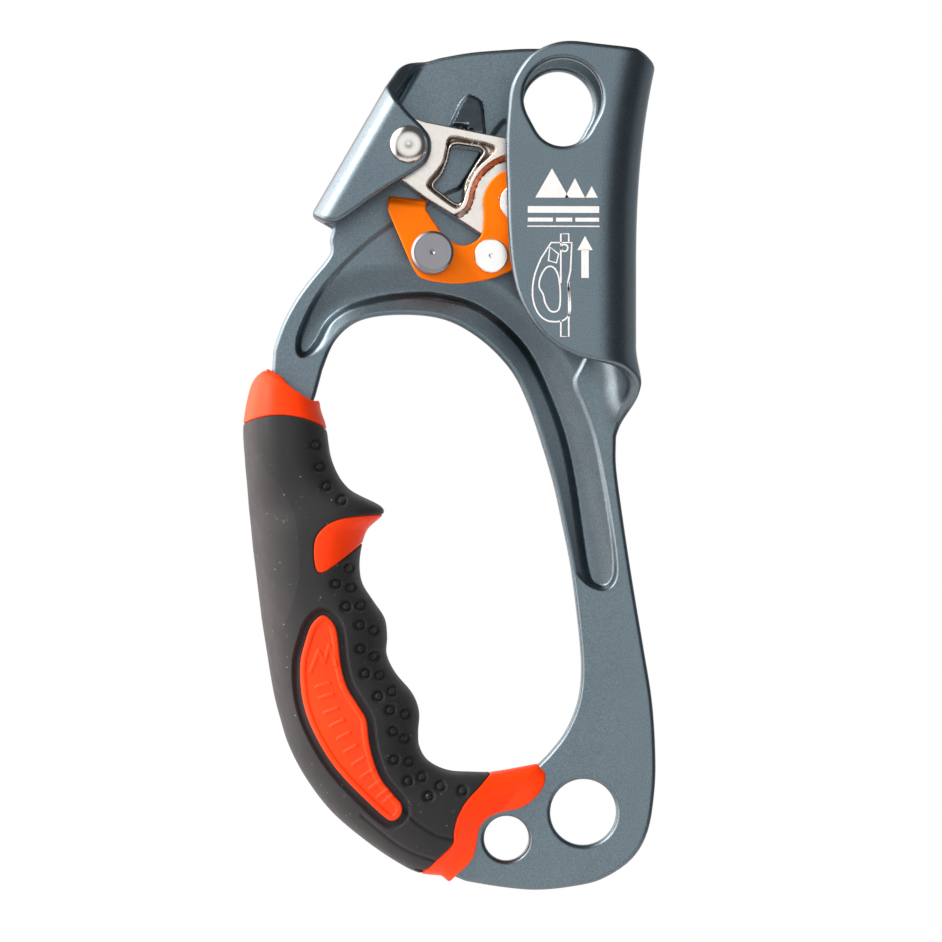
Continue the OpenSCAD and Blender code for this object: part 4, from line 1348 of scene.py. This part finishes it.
washer_steel = polished_steel("washer_steel", (0.55, 0.54, 0.52), 0.26)
for node, ending, centre, outer, soft, body, material, slot in (
        ("cam_washer_rear", "_ring", CAM_AXIS, 5.4, 0.1, "frame", washer_steel, "rivet_steel"),
        ("cam_washer_front", "_ring", CAM_AXIS, 5.4, 0.1, "frame", washer_steel, "rivet_steel"),
        ("lever_washer", "_ring", LEVER_AXIS, 5, 0.1, "cam", washer_steel, "rivet_steel"),
        ("cam_bushing", "_sleeve", CAM_AXIS, 3.5, 0.15, "frame", bronze(), "bushing_bronze")):
    front, back = depths(node)
    ring = rounded([(BORE_R, front), (outer, front), (outer, back), (BORE_R, back)], soft)
    piece = turned(node + ending, centre, ring + [ring[0]], 96)
    dress(piece, material, body, slot, node)


def coil(centre, radius, start, pitch, turns, end_angle, leg):
    """A coil about Y from a depth towards the front, which ends at an angle in a leg out to a place."""
    count = int(turns * 36)
    a = np.radians(end_angle - 360 * turns + 360 * turns * np.arange(count + 1) / count)
    y = start - pitch * turns * np.arange(count + 1) / count
    points = np.stack([centre[0] + radius * np.cos(a), y, centre[1] + radius * np.sin(a)], 1)
    reach = np.array([leg[0], points[-1, 1], leg[1]])
    steps = np.linspace(0, 1, 7)[1:, None]
    return join(points, points[-1] + steps * (reach - points[-1]))


spring_steel = spring_wire()
for node, body, centre, radius, wire_r, pitch, turns, end_angle, inset, leg in (
        ("cam_spring", "frame", CAM_AXIS, 4.9, 0.4, 0.9, 3.4, 20, 0.45, [5.1, 2]),
        ("lever_spring", "cam", LEVER_AXIS, 3.3, 0.23, 0.56, 1.25, 180, 0.24, [-4.5, 1.2])):
    start = depths(node)[1] - inset
    piece = wire(node + "_coil", coil(centre, radius, start, pitch, turns, end_angle, centre + leg), wire_r)
    dress(piece, spring_steel, body, "spring_steel", node)

# ---- Finish ----

bpy.context.scene.view_settings.view_transform = "Standard"

AZIMUTH = math.radians(-2)
DISTANCE = 0.72
LENS = 118.3
LOOK_RIGHT, LOOK_UP = 4.9, -0.4  # the picture's middle, from the middle of the CAD's box
centre = (cad_box[0] + cad_box[1]) / 2
target = Vector((centre.x + LOOK_RIGHT * MM, 0, centre.z + LOOK_UP * MM))


def aim(thing, place):
    """Puts a camera or a light at a place and turns it to the target."""
    thing.location = place
    thing.rotation_mode = "QUATERNION"
    thing.rotation_quaternion = (target - Vector(place)).to_track_quat("-Z", "Y")


camera_data = bpy.data.cameras.new("camera")
camera_data.sensor_width = 36
camera_data.lens = LENS
camera_data.clip_start = 0.01
camera = add_object("camera", camera_data)
away = Vector((math.sin(AZIMUTH), -math.cos(AZIMUTH), 0))
aim(camera, target + away * DISTANCE)
bpy.context.scene.camera = camera


def studio_world():
    """White behind the object, with a broad soft light at the left and dark sides that draw its edges."""
    bpy.context.scene.world = bpy.data.worlds.new("studio")
    nodes = Nodes(bpy.context.scene.world)
    way = nodes.node("ShaderNodeTexCoord").outputs["Generated"]
    total = (0.11, 0.11, 0.115)
    for direction, start, full, color in (
            ((0.05, -1, 0.02), 0.76, 1.0, (1.2, 1.2, 1.2)),  # soft front light
            ((-0.93, 0, 0.3), 0.42, 0.94, (4.9, 4.3, 4.05)),  # broad warm light at the left
            ((0, 1, 0), 0.75, 0.97, (0.9, 0.9, 0.9)),  # white wall behind
            ((1, 0.6, 0.2), 0.8, 0.97, (0.4, 0.4, 0.4))):  # a weak light from the right rear
        facing = nodes.maths("VectorMath", "DOT_PRODUCT", way, Vector(direction).normalized(), "Value")
        level = nodes.smooth_step(facing, start, full)
        light = nodes.maths("VectorMath", "SCALE", color, level, second="Scale")
        total = nodes.maths("VectorMath", "ADD", light, total)
    seen = nodes.node("ShaderNodeLightPath").outputs["Is Camera Ray"]
    pick = nodes.node("ShaderNodeMix", data_type="VECTOR", B=(1, 1, 1))
    nodes.link(seen, pick.inputs["Factor"])
    nodes.link(total, pick.inputs["A"])
    nodes.link(pick.outputs["Result"], nodes.tree.nodes["Background"].inputs["Color"])


def soft_light(name, place, size, power):
    data = bpy.data.lights.new(name, "AREA")
    data.shape = "DISK"
    data.size = size
    data.energy = power
    aim(add_object(name, data), place)


FLOOR_R = 600
FLOOR_FADE = 200  # where the floor starts to fade out
FLOOR_Z = -160


def pale_floor():
    """A round pale floor, well below the hanging object, which fades out at its rim."""
    ring = arc((0, 0), FLOOR_R, 0, 360, 64)[:-1] * MM
    mesh = bpy.data.meshes.new("floor")
    mesh.from_pydata([(x, y, FLOOR_Z * MM) for x, y in ring], [], [list(range(len(ring)))])
    floor = add_object("floor", mesh)
    look = Look("floor_paint", (0.86, 0.86, 0.86), 0.7)
    length = look.maths("VectorMath", "LENGTH", look.place, result="Value")
    fade = look.smooth_step(length, FLOOR_FADE * MM, FLOOR_R * MM, 1, 0)
    look.link(fade, look.shader.inputs["Alpha"])
    mesh.materials.append(look.material)


studio_world()
soft_light("key", (-0.75, -0.55, 0.75), 0.5, 7.0)
pale_floor()
